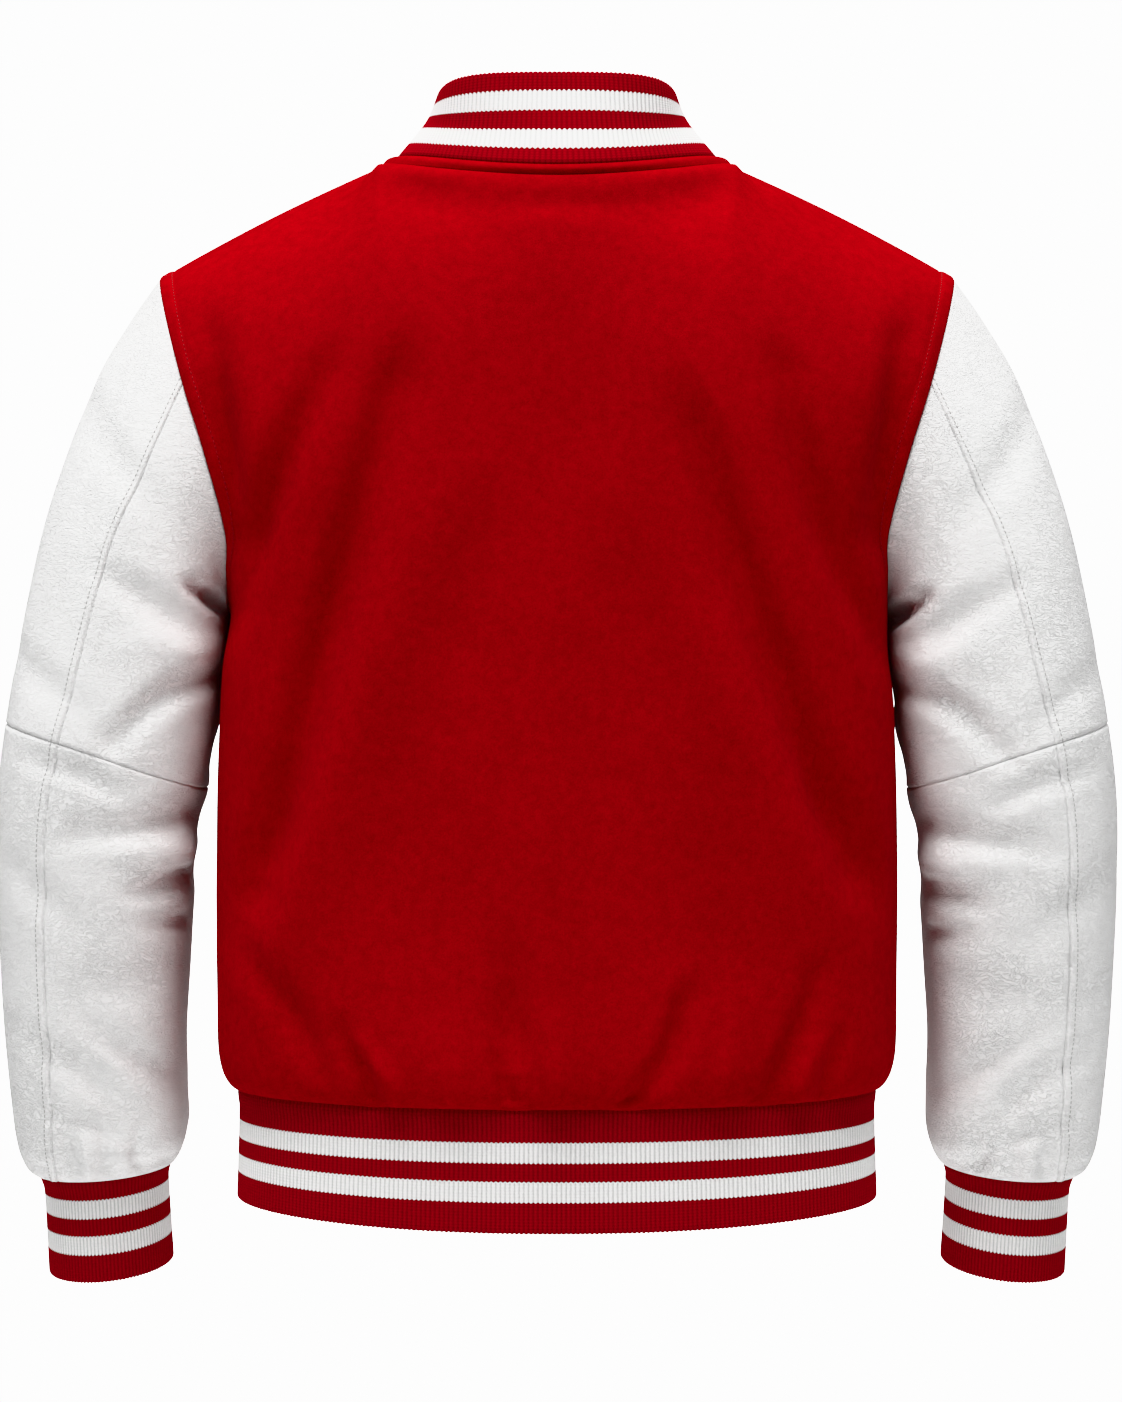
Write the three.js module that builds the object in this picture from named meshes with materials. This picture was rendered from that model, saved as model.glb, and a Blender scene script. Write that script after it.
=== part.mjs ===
// Varsity jacket, filled out with nobody in it: wool body, leather sleeves, rib-knit trim.
// Millimetres, +Z up. The front faces -Y, and the wearer's left is +X. The origin is the middle
// of the neck, level with the points where the shoulder seams reach the neck.
import * as THREE from 'three';

// Cloth thicknesses and the gap that every seam keeps.
const woolThickness = 2;
const leatherThickness = 1.6;
const bandThickness = 2.6;
const ribBaseThickness = 1.5;
const ribHeight = 0.8;
const seamGap = 0.3;

// The knit ribs, counted round each piece.
const hemRibs = 400;
const cuffRibs = 108;
const collarRibs = 188;
const ribsPerInnerStep = 4;

// Neck, shoulders and armholes.
const neckHalfWidth = 112;
const neckSideHeight = -4;
const neck = {
  back: { depth: 98, height: -21 },
  front: { depth: 92, height: -84 },
};
const shoulderHalfWidth = 251;
const neckShare = neckHalfWidth / shoulderHalfWidth;
const shoulderHeight = -74;
const shoulderCrown = 2.5;
const neckSpread = 1.3;
const tiny = 1e-6;
const underarmHeight = -285;
const armholeDepth = 80;
const trunkDepth = { back: 134, front: 138 };
const upperRows = 10;

// The fronts lap at the centre: the wearer's left one lies on top.
const lapHalfWidth = 15;
const lapBlend = { from: 30, to: 58 };
const lapClearance = 1;

// Horizontal sections of the trunk from the hem seam up to the underarm.
// square is the exponent of the section's outline: 2 is an ellipse, and more is boxier.
const trunkSections = [
  { height: -584, halfWidth: 203.5, back: 129, front: 129, square: 2.7 },
  { height: -580, halfWidth: 207.5, back: 132.5, front: 133, square: 2.7 },
  { height: -573, halfWidth: 211, back: 136, front: 137, square: 2.7 },
  { height: -560, halfWidth: 213.5, back: 138, front: 140, square: 2.7 },
  { height: -535, halfWidth: 214, back: 138, front: 141, square: 2.75 },
  { height: -500, halfWidth: 214, back: 137, front: 141, square: 2.8 },
  { height: -450, halfWidth: 214, back: 136.5, front: 141, square: 2.9 },
  { height: -400, halfWidth: 213.5, back: 135.5, front: 140, square: 3.1 },
  { height: -355, halfWidth: 211.5, back: 134.5, front: 138.7, square: 3.4 },
  { height: -318, halfWidth: 209, back: 134, front: 138, square: 3.58 },
  { height: -285, halfWidth: 207, back: 134, front: 138, square: 3.6 },
];
const hemSag = { back: 3.6, front: 2 };

// Half-width of the trunk at the armhole seam, by its share of the way up from the underarm.
const armholeWidths = [
  { share: 0, halfWidth: 207 },
  { share: 0.1, halfWidth: 205 },
  { share: 0.22, halfWidth: 204 },
  { share: 0.45, halfWidth: 216 },
  { share: 0.65, halfWidth: 229.5 },
  { share: 1, halfWidth: 251 },
];

// Rings of the left sleeve from the armhole to the cuff seam: the outer and inner point of
// each, how far forward or back its middle lies, its half-depth, the drop of its back, and how
// many degrees round from the top its back seam lies.
const sleeveRings = [
  { outX: 251, outZ: -74, inX: 207, inZ: -285, midY: 0, depth: 80, drop: 0, seam: 72 },
  { outX: 269, outZ: -100, inX: 207.6, inZ: -291, midY: 1, depth: 80, drop: 0, seam: 76.5 },
  { outX: 290, outZ: -136, inX: 208.9, inZ: -303, midY: 2, depth: 79, drop: 1, seam: 79 },
  { outX: 310, outZ: -187, inX: 211.2, inZ: -321, midY: 3, depth: 78, drop: 1.5, seam: 77 },
  { outX: 325, outZ: -236, inX: 214.4, inZ: -345, midY: 4, depth: 77, drop: 2, seam: 76 },
  { outX: 338, outZ: -298, inX: 218.4, inZ: -371, midY: 4, depth: 75.5, drop: 1, seam: 74 },
  { outX: 348, outZ: -355, inX: 223.2, inZ: -397, midY: 3, depth: 73.5, drop: -1, seam: 71 },
  { outX: 353.8, outZ: -402, inX: 229.4, inZ: -429, midY: 0, depth: 71.5, drop: 1, seam: 69 },
  { outX: 354.8, outZ: -452, inX: 232.8, inZ: -468, midY: -5, depth: 69, drop: 3, seam: 68 },
  { outX: 354, outZ: -504, inX: 236, inZ: -511, midY: -13, depth: 66, drop: 5, seam: 67.5 },
  { outX: 351.8, outZ: -556, inX: 239.4, inZ: -558, midY: -21, depth: 63, drop: 6, seam: 68 },
  { outX: 348.5, outZ: -602, inX: 238.8, inZ: -602, midY: -29, depth: 60.5, drop: 5.5, seam: 66 },
  { outX: 346.4, outZ: -623, inX: 239.2, inZ: -620, midY: -32.5, depth: 59, drop: 5, seam: 64 },
  { outX: 344.4, outZ: -633, inX: 241.6, inZ: -629, midY: -34.5, depth: 56.5, drop: 4.5, seam: 62.5 },
  { outX: 340.8, outZ: -640.5, inX: 244.6, inZ: -635, midY: -35.5, depth: 52, drop: 4.5, seam: 59.5 },
  { outX: 335.8, outZ: -644.5, inX: 247.4, inZ: -638.5, midY: -36, depth: 46.5, drop: 4.5, seam: 56 },
];
const elbowRing = 6;
const sleeveColumns = 20;
const backSeamColumn = 4;
const frontSeamColumn = 14;
const frontSeamAngle = 252;
const bowRings = 4;

// Rings of the left cuff, written as the sleeve's are.
const cuffRings = [
  { outX: 335.8, outZ: -644.5, inX: 247.4, inZ: -638.5, midY: -36, depth: 46.5, drop: 4.5 },
  { outX: 329.4, outZ: -656.5, inX: 251.4, inZ: -649.5, midY: -37.5, depth: 42, drop: 5 },
  { outX: 327.6, outZ: -708.5, inX: 249, inZ: -701.5, midY: -45.5, depth: 41.5, drop: 6.5 },
];

// The hem band's sections, by how far each lies below the hem seam at the side and the centre.
const hemSections = [
  { side: 0, centre: 0, halfWidth: 203.5, back: 129, front: 129, square: 2.7 },
  { side: 12, centre: 12, halfWidth: 199.2, back: 126, front: 126, square: 2.7 },
  { side: 68, centre: 74, halfWidth: 201, back: 128, front: 128, square: 2.7 },
];

// Outlines round the neck, from the wool band's seam up to the top of the rib collar. A boxier
// one has a higher square, and rise lifts it faster from the side towards the centre back.
const neckOutlines = {
  bandMiddle: { halfWidth: 107.6, back: 98.5, front: 91, sideZ: 0.2, backZ: -17.8, frontZ: -78 },
  bandTop: { halfWidth: 101.6, back: 95.5, front: 87, sideZ: 1.4, backZ: -14.2, frontZ: -73 },
  collarBase: { halfWidth: 101, back: 95.2, front: 86.6, sideZ: 1.9, backZ: -13.7, frontZ: -72.5 },
  collarMiddle: { halfWidth: 84, back: 84.5, front: 78.5, sideZ: 22, backZ: 12, frontZ: -56,
    square: 2.3, rise: 0.5 },
  collarTop: { halfWidth: 75.5, back: 75.5, front: 74, sideZ: 36, backZ: 45.2, frontZ: -33,
    square: 3, rise: 1 },
};
const collarEndGap = 0.8;

// Large soft creases of the wool, as lines from 1 to 2 seen from behind or in front. Each bows
// to the left of its way and has a width on its left and its right. It is a trough between two
// low lips where its depth is positive, and a ridge where it is negative.
const backCreases = [
  { x1: 100, z1: -160, x2: 184, z2: -452, bow: 0, left: 14, right: 20, depth: 14 },
  { x1: -86, z1: -186, x2: -182, z2: -436, bow: 3, left: 20, right: 14, depth: 14 },
  { x1: 146, z1: -152, x2: 196, z2: -282, bow: 3, left: 12, right: 15, depth: 10 },
  { x1: -140, z1: -148, x2: -194, z2: -300, bow: 8, left: 15, right: 12, depth: 10 },
  { x1: 212, z1: -128, x2: 196, z2: -232, bow: 3, left: 12, right: 14, depth: 10 },
  { x1: -212, z1: -128, x2: -196, z2: -232, bow: -3, left: 14, right: 12, depth: 10 },
  { x1: 168, z1: -400, x2: 186, z2: -448, bow: 0, left: 12, right: 16, depth: 5 },
  { x1: -156, z1: -376, x2: -180, z2: -432, bow: 0, left: 16, right: 12, depth: 6 },
  { x1: 62, z1: -215, x2: 158, z2: -470, bow: 4, left: 26, right: 24, depth: -4 },
  { x1: -50, z1: -240, x2: -136, z2: -440, bow: -4, left: 24, right: 26, depth: -4 },
  { x1: 6, z1: -150, x2: 2, z2: -310, bow: 4, left: 32, right: 32, depth: 4 },
  { x1: -12, z1: -335, x2: -16, z2: -500, bow: 0, left: 24, right: 24, depth: 4 },
  { x1: 92, z1: -405, x2: 96, z2: -510, bow: 3, left: 26, right: 26, depth: 4.5 },
  { x1: 188, z1: -500, x2: 144, z2: -560, bow: -3, left: 12, right: 12, depth: 6 },
  { x1: 30, z1: -508, x2: 26, z2: -566, bow: 0, left: 14, right: 14, depth: 9 },
  { x1: 128, z1: -546, x2: 112, z2: -584, bow: -3, left: 12, right: 12, depth: 6 },
  { x1: -74, z1: -526, x2: -38, z2: -582, bow: -5, left: 12, right: 12, depth: 8 },
  { x1: -156, z1: -512, x2: -122, z2: -584, bow: -4, left: 12, right: 12, depth: 7 },
];
const frontCreases = [
  { x1: 212, z1: -132, x2: 196, z2: -232, bow: 3, left: 12, right: 14, depth: 9 },
  { x1: -212, z1: -132, x2: -196, z2: -232, bow: -3, left: 14, right: 12, depth: 9 },
  { x1: 140, z1: -165, x2: 178, z2: -420, bow: 4, left: 14, right: 20, depth: 12 },
  { x1: -134, z1: -155, x2: -176, z2: -440, bow: -4, left: 20, right: 14, depth: 12 },
  { x1: 92, z1: -230, x2: 138, z2: -470, bow: 4, left: 24, right: 24, depth: -3.5 },
  { x1: -88, z1: -240, x2: -134, z2: -470, bow: -4, left: 24, right: 24, depth: -3.5 },
  { x1: 182, z1: -500, x2: 152, z2: -560, bow: -3, left: 12, right: 12, depth: 5 },
  { x1: 130, z1: -545, x2: 121, z2: -584, bow: 2, left: 12, right: 12, depth: 6 },
  { x1: 84, z1: -535, x2: 76, z2: -584, bow: -4, left: 12, right: 12, depth: 6 },
  { x1: -76, z1: -530, x2: -67, z2: -584, bow: 4, left: 12, right: 12, depth: 7 },
  { x1: -124, z1: -545, x2: -132, z2: -584, bow: 3, left: 12, right: 12, depth: 6 },
];
const creaseSeamFade = 11;
const creaseLip = 0.5;
const creaseEnd = 0.55;
const creaseSpread = 1.2;
const gatherFade = 9;

// Large soft creases of the left sleeve. half is which side of the sleeve they are on. The
// right sleeve has them mirrored and a little further along.
const sleeveCreases = [
  { half: 'back', x1: 272, z1: -264, x2: 226, z2: -296, bow: -3, left: 12, right: 12, depth: 4.5 },
  { half: 'back', x1: 228, z1: -271, x2: 202, z2: -284, bow: 0, left: 10, right: 10, depth: 8 },
  { half: 'back', x1: 210, z1: -326, x2: 266, z2: -364, bow: 5, left: 12, right: 12, depth: 6 },
  { half: 'back', x1: 286, z1: -424, x2: 216, z2: -408, bow: 4, left: 12, right: 13, depth: 6 },
  { half: 'back', x1: 284, z1: -550, x2: 240, z2: -580, bow: 0, left: 12, right: 12, depth: 5 },
  { half: 'back', x1: 254, z1: -436, x2: 222, z2: -438, bow: 0, left: 13, right: 13, depth: -5 },
  { half: 'back', x1: 320, z1: -562, x2: 276, z2: -599, bow: -6, left: 12, right: 13, depth: 4.5 },
  { half: 'front', x1: 272, z1: -262, x2: 208, z2: -284, bow: -5, left: 12, right: 14, depth: 9 },
  { half: 'front', x1: 208, z1: -328, x2: 262, z2: -360, bow: 5, left: 13, right: 12, depth: 6.5 },
  { half: 'front', x1: 292, z1: -400, x2: 226, z2: -378, bow: 5, left: 12, right: 14, depth: 7 },
  { half: 'front', x1: 232, z1: -420, x2: 300, z2: -440, bow: 5, left: 12, right: 12, depth: 5.5 },
  { half: 'front', x1: 314, z1: -556, x2: 262, z2: -586, bow: -5, left: 12, right: 14, depth: 5 },
];
const rightShift = { x: 2, z: -7 };
const sleeveFullness = { outer: 4, inner: 9 };

// Snap caps on the top lap.
const snapRadius = 7.5;
const snapHeight = 3;
const snapSides = 14;
const snapHeights = [-112, -194, -276, -358, -440, -522];
const hemSnapDrop = 36;

const woolRed = new THREE.MeshStandardMaterial({ color: 0xa8060d, roughness: 0.95 });
const knitRed = new THREE.MeshStandardMaterial({ color: 0xb00a12, roughness: 0.9 });
const leatherWhite = new THREE.MeshStandardMaterial({ color: 0xe9e6e2, roughness: 0.5 });
const snapWhite = new THREE.MeshStandardMaterial({ color: 0xe6e4e0, roughness: 0.35 });

const jacket = new THREE.Group();
const { lerp, smoothstep } = THREE.MathUtils;

for (const table of [sleeveRings, cuffRings]) {
  table.forEach((row, index) => { row.index = index; });
}

// The value of one column of a table at x along its key column, on a smooth cubic.
function read(table, key, column, x) {
  const last = table.length - 1;
  let i = 0;
  while (i < last - 1 && (x - table[i + 1][key]) * (table[last][key] - table[0][key]) > 0) i += 1;
  const slope = (a, b) => (table[b][column] - table[a][column]) / (table[b][key] - table[a][key]);
  const tangent = (k) => slope(Math.max(k - 1, 0), Math.min(k + 1, last));
  const step = table[i + 1][key] - table[i][key];
  const t = (x - table[i][key]) / step;
  const start = table[i][column] * (1 + 2 * t) * (1 - t) ** 2;
  const end = table[i + 1][column] * (3 - 2 * t) * t * t;
  return start + end + step * (tangent(i) * t * (1 - t) ** 2 - tangent(i + 1) * t * t * (1 - t));
}

// A section's outline: its depth as a share of the full one, at a share of the half-width.
function roundOff(share, square) {
  return Math.max(1 - Math.abs(share) ** square, 0) ** (1 / square);
}

// The neck seam's depth at a share across. Below the seam its form widens and softens, so that
// the cloth runs smoothly from the neck into the shoulders.
function neckDepth(side, share, w) {
  const reach = neckShare + neckSpread * (1 - w);
  const softness = lerp(0.5, 1.8, smoothstep(1 - w, 0, 0.12));
  return neck[side].depth * Math.max(1 - (share / reach) ** 2, 0) ** softness;
}

// The trunk's depth above the underarm before its sides round off towards the armholes.
function middleDepth(side, share, w) {
  const fall = (1 - w ** 3) ** lerp(0.8, 0.5, smoothstep(share, 0, neckShare));
  return lerp(neckDepth(side, share, w), trunkDepth[side], fall);
}

// Height of the trunk's top edge, the neck seam or the shoulder seam, at a share across.
function topHeight(side, share) {
  if (share < neckShare) {
    return lerp(neck[side].height, neckSideHeight, (share / neckShare) ** 2);
  }
  const along = (share - neckShare) / (1 - neckShare);
  const crown = shoulderCrown * Math.sin(Math.PI * along);
  return lerp(neckSideHeight, shoulderHeight, along) + crown;
}

// Half-width of the trunk in a row below the underarm or above it.
function rowHalfWidth(row) {
  if (row.share === undefined) return read(trunkSections, 'height', 'halfWidth', row.height);
  return read(armholeWidths, 'share', 'halfWidth', row.share);
}

// A point of the trunk before its creases. across is a share of the row's half-width.
function trunkPoint(side, across, row) {
  const facing = side === 'back' ? 1 : -1;
  const share = Math.abs(across);
  const x = rowHalfWidth(row) * across;
  if (row.share === undefined) {
    const square = read(trunkSections, 'height', 'square', row.height);
    const y = read(trunkSections, 'height', side, row.height) * roundOff(share, square);
    const sag = hemSag[side] * (1 - share ** 2) * smoothstep(-row.height, 540, 584);
    return new THREE.Vector3(x, facing * y, row.height - sag);
  }
  const w = row.share;
  const square = trunkSections.at(-1).square;
  const edge = armholeDepth * 2 * Math.sqrt(w * (1 - w));
  const outer = Math.max(middleDepth(side, 1, w), tiny);
  const cut = 1 - Math.min(edge / outer, 1) ** square;
  const y = middleDepth(side, share, w) * (1 - cut * share ** square) ** (1 / square);
  return new THREE.Vector3(x, facing * y, lerp(underarmHeight, topHeight(side, share), w));
}

// Rows of the trunk, from the hem seam to the shoulder.
const trunkRows = trunkSections.map((section) => ({ height: section.height }));
for (let i = 1; i <= upperRows; i += 1) {
  trunkRows.push({ share: (1 - Math.cos(Math.PI * i / upperRows)) / 2 });
}

// Columns of a half of the trunk, from the centre to the side, as shares of the half-width.
const neckColumns = 6;
const shoulderColumns = 7;
const halfColumns = [];
for (let i = 0; i < neckColumns; i += 1) {
  const angle = Math.PI / 2 * i / neckColumns;
  halfColumns.push(neckShare * Math.sin(angle));
}
for (let i = 0; i <= shoulderColumns; i += 1) {
  halfColumns.push(Math.sin(lerp(Math.asin(neckShare), Math.PI / 2, i / shoulderColumns)));
}

// How deep the creases of a table are at a point seen from behind or in front.
function creaseDepth(creases, x, z) {
  let depth = 0;
  for (const crease of creases) {
    const runX = crease.x2 - crease.x1;
    const runZ = crease.z2 - crease.z1;
    const length = Math.hypot(runX, runZ);
    const along = ((x - crease.x1) * runX + (z - crease.z1) * runZ) / length ** 2;
    const share = Math.min(Math.max(along, 0), 1);
    const bowed = 4 * crease.bow * share * (1 - share);
    const away = ((z - crease.z1) * runX - (x - crease.x1) * runZ) / length - bowed;
    const past = (along - share) * length / (crease.left + crease.right);
    const near = (away / (away > 0 ? crease.left : crease.right)) ** 2 + past ** 2;
    const swell = lerp(creaseEnd, 1, Math.sin(Math.PI * share));
    depth += crease.depth * swell * (1 - creaseLip * near) * Math.exp(-near / creaseSpread);
  }
  return depth;
}

// Unit normals of a grid of points. A wrapped grid's last column joins its first.
function gridNormals(grid, wrap) {
  const rows = grid.length;
  const columns = grid[0].length;
  return grid.map((row, i) => row.map((_, j) => {
    const left = wrap ? (j + columns - 1) % columns : Math.max(j - 1, 0);
    const right = wrap ? (j + 1) % columns : Math.min(j + 1, columns - 1);
    const across = grid[i][right].clone().sub(grid[i][left]);
    const up = grid[Math.min(i + 1, rows - 1)][j].clone().sub(grid[Math.max(i - 1, 0)][j]);
    return across.cross(up).normalize();
  }));
}

// Each panel waits here until the normals that it shares with its neighbours are known.
const panels = [];

function addPanel(name, grid, thickness, material, gap = seamGap) {
  panels.push({ name, grid, normals: gridNormals(grid, false), thickness, material, gap });
}

const seamKey = (point) => point.toArray().map((value) => Math.round(value * 50)).join(',');

// Moves a panel's edges back from the seam line by half of the gap.
function pulledBack(grid, gap) {
  const rows = grid.length - 1;
  const columns = grid[0].length - 1;
  return grid.map((row, i) => row.map((point, j) => {
    const moved = point.clone();
    const towards = (other) => moved.add(other.clone().sub(point).setLength(gap / 2));
    if (i === 0) towards(grid[1][j]);
    if (i === rows) towards(grid[rows - 1][j]);
    if (j === 0) towards(row[1]);
    if (j === columns) towards(row[columns - 1]);
    return moved;
  }));
}

function meshFrom(name, positions, triangles, material) {
  const geometry = new THREE.BufferGeometry();
  const flat = positions.flatMap((point) => point.toArray());
  geometry.setAttribute('position', new THREE.Float32BufferAttribute(flat, 3));
  geometry.setIndex(triangles);
  geometry.computeVertexNormals();
  const mesh = new THREE.Mesh(geometry, material);
  mesh.name = name;
  jacket.add(mesh);
  return mesh;
}

// A closed wall from a grid of outer points and the matching inner ones.
function wallMesh(name, outer, inner, material) {
  const rows = outer.length;
  const columns = outer[0].length;
  const positions = [...outer.flat(), ...inner.flat()];
  const triangles = [];
  const at = (layer, i, j) => layer * rows * columns + i * columns + j;
  const quad = (a, b, c, d) => triangles.push(a, b, c, a, c, d);
  for (let i = 0; i < rows - 1; i += 1) {
    for (let j = 0; j < columns - 1; j += 1) {
      quad(at(0, i, j), at(0, i, j + 1), at(0, i + 1, j + 1), at(0, i + 1, j));
      quad(at(1, i, j), at(1, i + 1, j), at(1, i + 1, j + 1), at(1, i, j + 1));
    }
    quad(at(0, i, 0), at(0, i + 1, 0), at(1, i + 1, 0), at(1, i, 0));
    quad(at(0, i, columns - 1), at(1, i, columns - 1), at(1, i + 1, columns - 1),
      at(0, i + 1, columns - 1));
  }
  for (let j = 0; j < columns - 1; j += 1) {
    quad(at(0, 0, j), at(1, 0, j), at(1, 0, j + 1), at(0, 0, j + 1));
    quad(at(0, rows - 1, j), at(0, rows - 1, j + 1), at(1, rows - 1, j + 1), at(1, rows - 1, j));
  }
  return meshFrom(name, positions, triangles, material);
}

// Makes every waiting panel. Where two panels meet at a seam, both walls end on the plane
// halfway between them, unless they lie against each other, as at the underarm.
function makePanels() {
  const shared = new Map();
  for (const panel of panels) {
    panel.grid.forEach((row, i) => row.forEach((point, j) => {
      const key = seamKey(point);
      if (!shared.has(key)) shared.set(key, []);
      shared.get(key).push(panel.normals[i][j]);
    }));
  }
  for (const { name, grid, normals, thickness, material, gap } of panels) {
    const outer = pulledBack(grid, gap);
    const inner = grid.map((row, i) => row.map((point, j) => {
      const own = normals[i][j];
      const common = new THREE.Vector3();
      for (const normal of shared.get(seamKey(point))) {
        if (normal.dot(own) > 0.2) common.add(normal);
      }
      common.normalize();
      return point.clone().addScaledVector(common, -thickness / Math.max(common.dot(own), 0.5));
    }));
    wallMesh(name, outer, pulledBack(inner, gap), material);
  }
}

// Moves a trunk panel's points in by its creases, which fade out towards the other seams.
function creased(grid, creases) {
  const normals = gridNormals(grid, false);
  const last = grid[0].length - 1;
  return grid.map((row, i) => row.map((point, j) => {
    const seamDistance = Math.min(point.distanceTo(row[0]), point.distanceTo(row[last]),
      point.distanceTo(grid.at(-1)[j]));
    const fade = smoothstep(seamDistance, 0, creaseSeamFade)
      * smoothstep(point.distanceTo(grid[0][j]), 0, gatherFade);
    const depth = fade * creaseDepth(creases, point.x, point.z);
    return point.clone().addScaledVector(normals[i][j], -depth);
  }));
}

// The back runs from the wearer's right side to the left, seen from outside.
function addBack() {
  const columns = [...halfColumns.slice(1).reverse(), ...halfColumns.map((share) => -share)];
  const grid = trunkRows.map((row) => columns.map((across) => trunkPoint('back', across, row)));
  addPanel('back', creased(grid, backCreases), woolThickness, woolRed);
}

// A front runs from its side seam past the centre line. The one beneath dips under the lap.
function addFront(name, sign, beneath) {
  const grid = trunkRows.map((row) => {
    const lap = lapHalfWidth / rowHalfWidth(row);
    const shares = [...halfColumns.slice().reverse(), -lap];
    const line = shares.map((share) => trunkPoint('front', sign * share, row));
    return sign > 0 ? line.reverse() : line;
  });
  const folded = creased(grid, frontCreases);
  if (beneath) {
    const normals = gridNormals(folded, false);
    folded.forEach((row, i) => row.forEach((point, j) => {
      const share = 1 - smoothstep(sign * point.x, lapBlend.from, lapBlend.to);
      const dip = (woolThickness + lapClearance) * share;
      point.addScaledVector(normals[i][j], -dip);
      if (row === folded.at(-1)) point.z -= lapClearance * share;
    }));
  }
  addPanel(name, folded, woolThickness, woolRed);
}

// The angle round a sleeve ring of one of its columns, whose seam columns follow the seams.
function columnAngle(ring, column) {
  const backSeamAngle = read(sleeveRings, 'index', 'seam', ring);
  let degrees = lerp(0, backSeamAngle, column / backSeamColumn);
  if (column > frontSeamColumn) {
    const past = (column - frontSeamColumn) / (sleeveColumns - frontSeamColumn);
    degrees = lerp(frontSeamAngle, 360, past);
  } else if (column > backSeamColumn) {
    const past = (column - backSeamColumn) / (frontSeamColumn - backSeamColumn);
    degrees = lerp(backSeamAngle, frontSeamAngle, past);
  }
  return THREE.MathUtils.degToRad(degrees);
}

// A point of the left sleeve. ring counts along the table and the angle goes round from the
// top of the shoulder, past the back, to the underarm and up the front.
function sleevePoint(table, ring, angle, bow) {
  const value = (name) => read(table, 'index', name, ring);
  const share = (1 + Math.cos(angle)) / 2;
  const first = table[0];
  const straight = lerp(first.inX, first.outX, share);
  const bowed = read(armholeWidths, 'share', 'halfWidth', share) - straight;
  const fade = bow ? Math.max(1 - ring / bowRings, 0) ** 2 : 0;
  return new THREE.Vector3(
    lerp(value('inX'), value('outX'), share) + bowed * fade,
    value('midY') + value('depth') * Math.sin(angle),
    lerp(value('inZ'), value('outZ'), share) - value('drop') * Math.sin(angle),
  );
}

// The whole left sleeve as rings of points, with its creases.
const sleeveSteps = [0, 1, 2, 3, 4, 4.7, 5.4, 6, 6.5, 7, 7.6, 8.3, 9, 9.6, 10.3, 11, 12, 13, 14, 15];
const sleeveFade = { start: 0.3, full: 1.5, easing: 13, end: 14.7 };
const fullnessFade = { start: 0.5, full: 4, easing: 11, end: 13.5 };
const halfFade = 0.45;

function sleeveShare(ring, fade) {
  return smoothstep(ring, fade.start, fade.full) * (1 - smoothstep(ring, fade.easing, fade.end));
}

function sleeveGrid(sign) {
  const shift = sign < 0 ? rightShift : { x: 0, z: 0 };
  const angles = sleeveSteps.map((ring) => {
    const line = [];
    for (let column = 0; column < sleeveColumns; column += 1) line.push(columnAngle(ring, column));
    return line;
  });
  const plain = sleeveSteps.map((ring, i) => (
    angles[i].map((angle) => sleevePoint(sleeveRings, ring, angle, true))));
  const inward = gridNormals(plain, true);
  const full = plain.map((row, i) => row.map((point, j) => {
    const angle = angles[i][j];
    const share = (1 - Math.cos(angle)) / 2;
    const fullness = lerp(sleeveFullness.outer, sleeveFullness.inner, share)
      * sleeveShare(sleeveSteps[i], fullnessFade) * Math.sin(2 * angle) ** 2;
    return point.clone().addScaledVector(inward[i][j], -fullness);
  }));
  return full.map((row, i) => row.map((point, j) => {
    const lift = Math.sin(angles[i][j]);
    const half = lift > 0 ? 'back' : 'front';
    const creases = sleeveCreases.filter((crease) => crease.half === half);
    const deep = creaseDepth(creases, point.x - shift.x, point.z - shift.z);
    const fade = sleeveShare(sleeveSteps[i], sleeveFade) * smoothstep(Math.abs(lift), 0, halfFade);
    return point.clone().addScaledVector(inward[i][j], fade * deep);
  }));
}

// One panel of a sleeve, between two rings and two seam columns.
function addSleevePanel(name, grid, sign, rings, columns) {
  const part = [];
  for (let i = rings.from; i <= rings.to; i += 1) {
    const line = [];
    for (let j = columns.from; j <= columns.to; j += 1) {
      const point = grid[i][(j + sleeveColumns) % sleeveColumns].clone();
      point.x *= sign;
      line.push(point);
    }
    part.push(sign > 0 ? line : line.reverse());
  }
  addPanel(name, part.reverse(), leatherThickness, leatherWhite);
}

function addSleeve(side, sign) {
  const grid = sleeveGrid(sign);
  const elbow = sleeveSteps.indexOf(elbowRing);
  const above = { from: 0, to: elbow };
  const below = { from: elbow, to: sleeveSteps.length - 1 };
  const upper = { from: frontSeamColumn - sleeveColumns, to: backSeamColumn };
  const under = { from: backSeamColumn, to: frontSeamColumn };
  addSleevePanel(`sleeve_${side}_upper`, grid, sign, above, upper);
  addSleevePanel(`sleeve_${side}_upper_lower`, grid, sign, below, upper);
  addSleevePanel(`sleeve_${side}_under`, grid, sign, above, under);
  addSleevePanel(`sleeve_${side}_under_lower`, grid, sign, below, under);
}

// A point of an outline round the neck at an angle from the centre back. The wearer's left is +.
function neckPoint(outline, angle) {
  const { halfWidth, sideZ, square = 2, rise = 0 } = outline;
  const sine = Math.sin(angle);
  const cosine = Math.cos(angle);
  const centre = cosine > 0 ? 'back' : 'front';
  const across = Math.sign(sine) * Math.abs(sine) ** (2 / square);
  const reach = Math.abs(cosine) ** (2 / square);
  const lift = centre === 'back' ? 2 * rise * (1 - reach) : 0;
  return new THREE.Vector3(
    halfWidth * across,
    Math.sign(cosine) * outline[centre] * reach,
    lerp(sideZ, outline[`${centre}Z`], reach ** 2 * (1 + lift)),
  );
}

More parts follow.
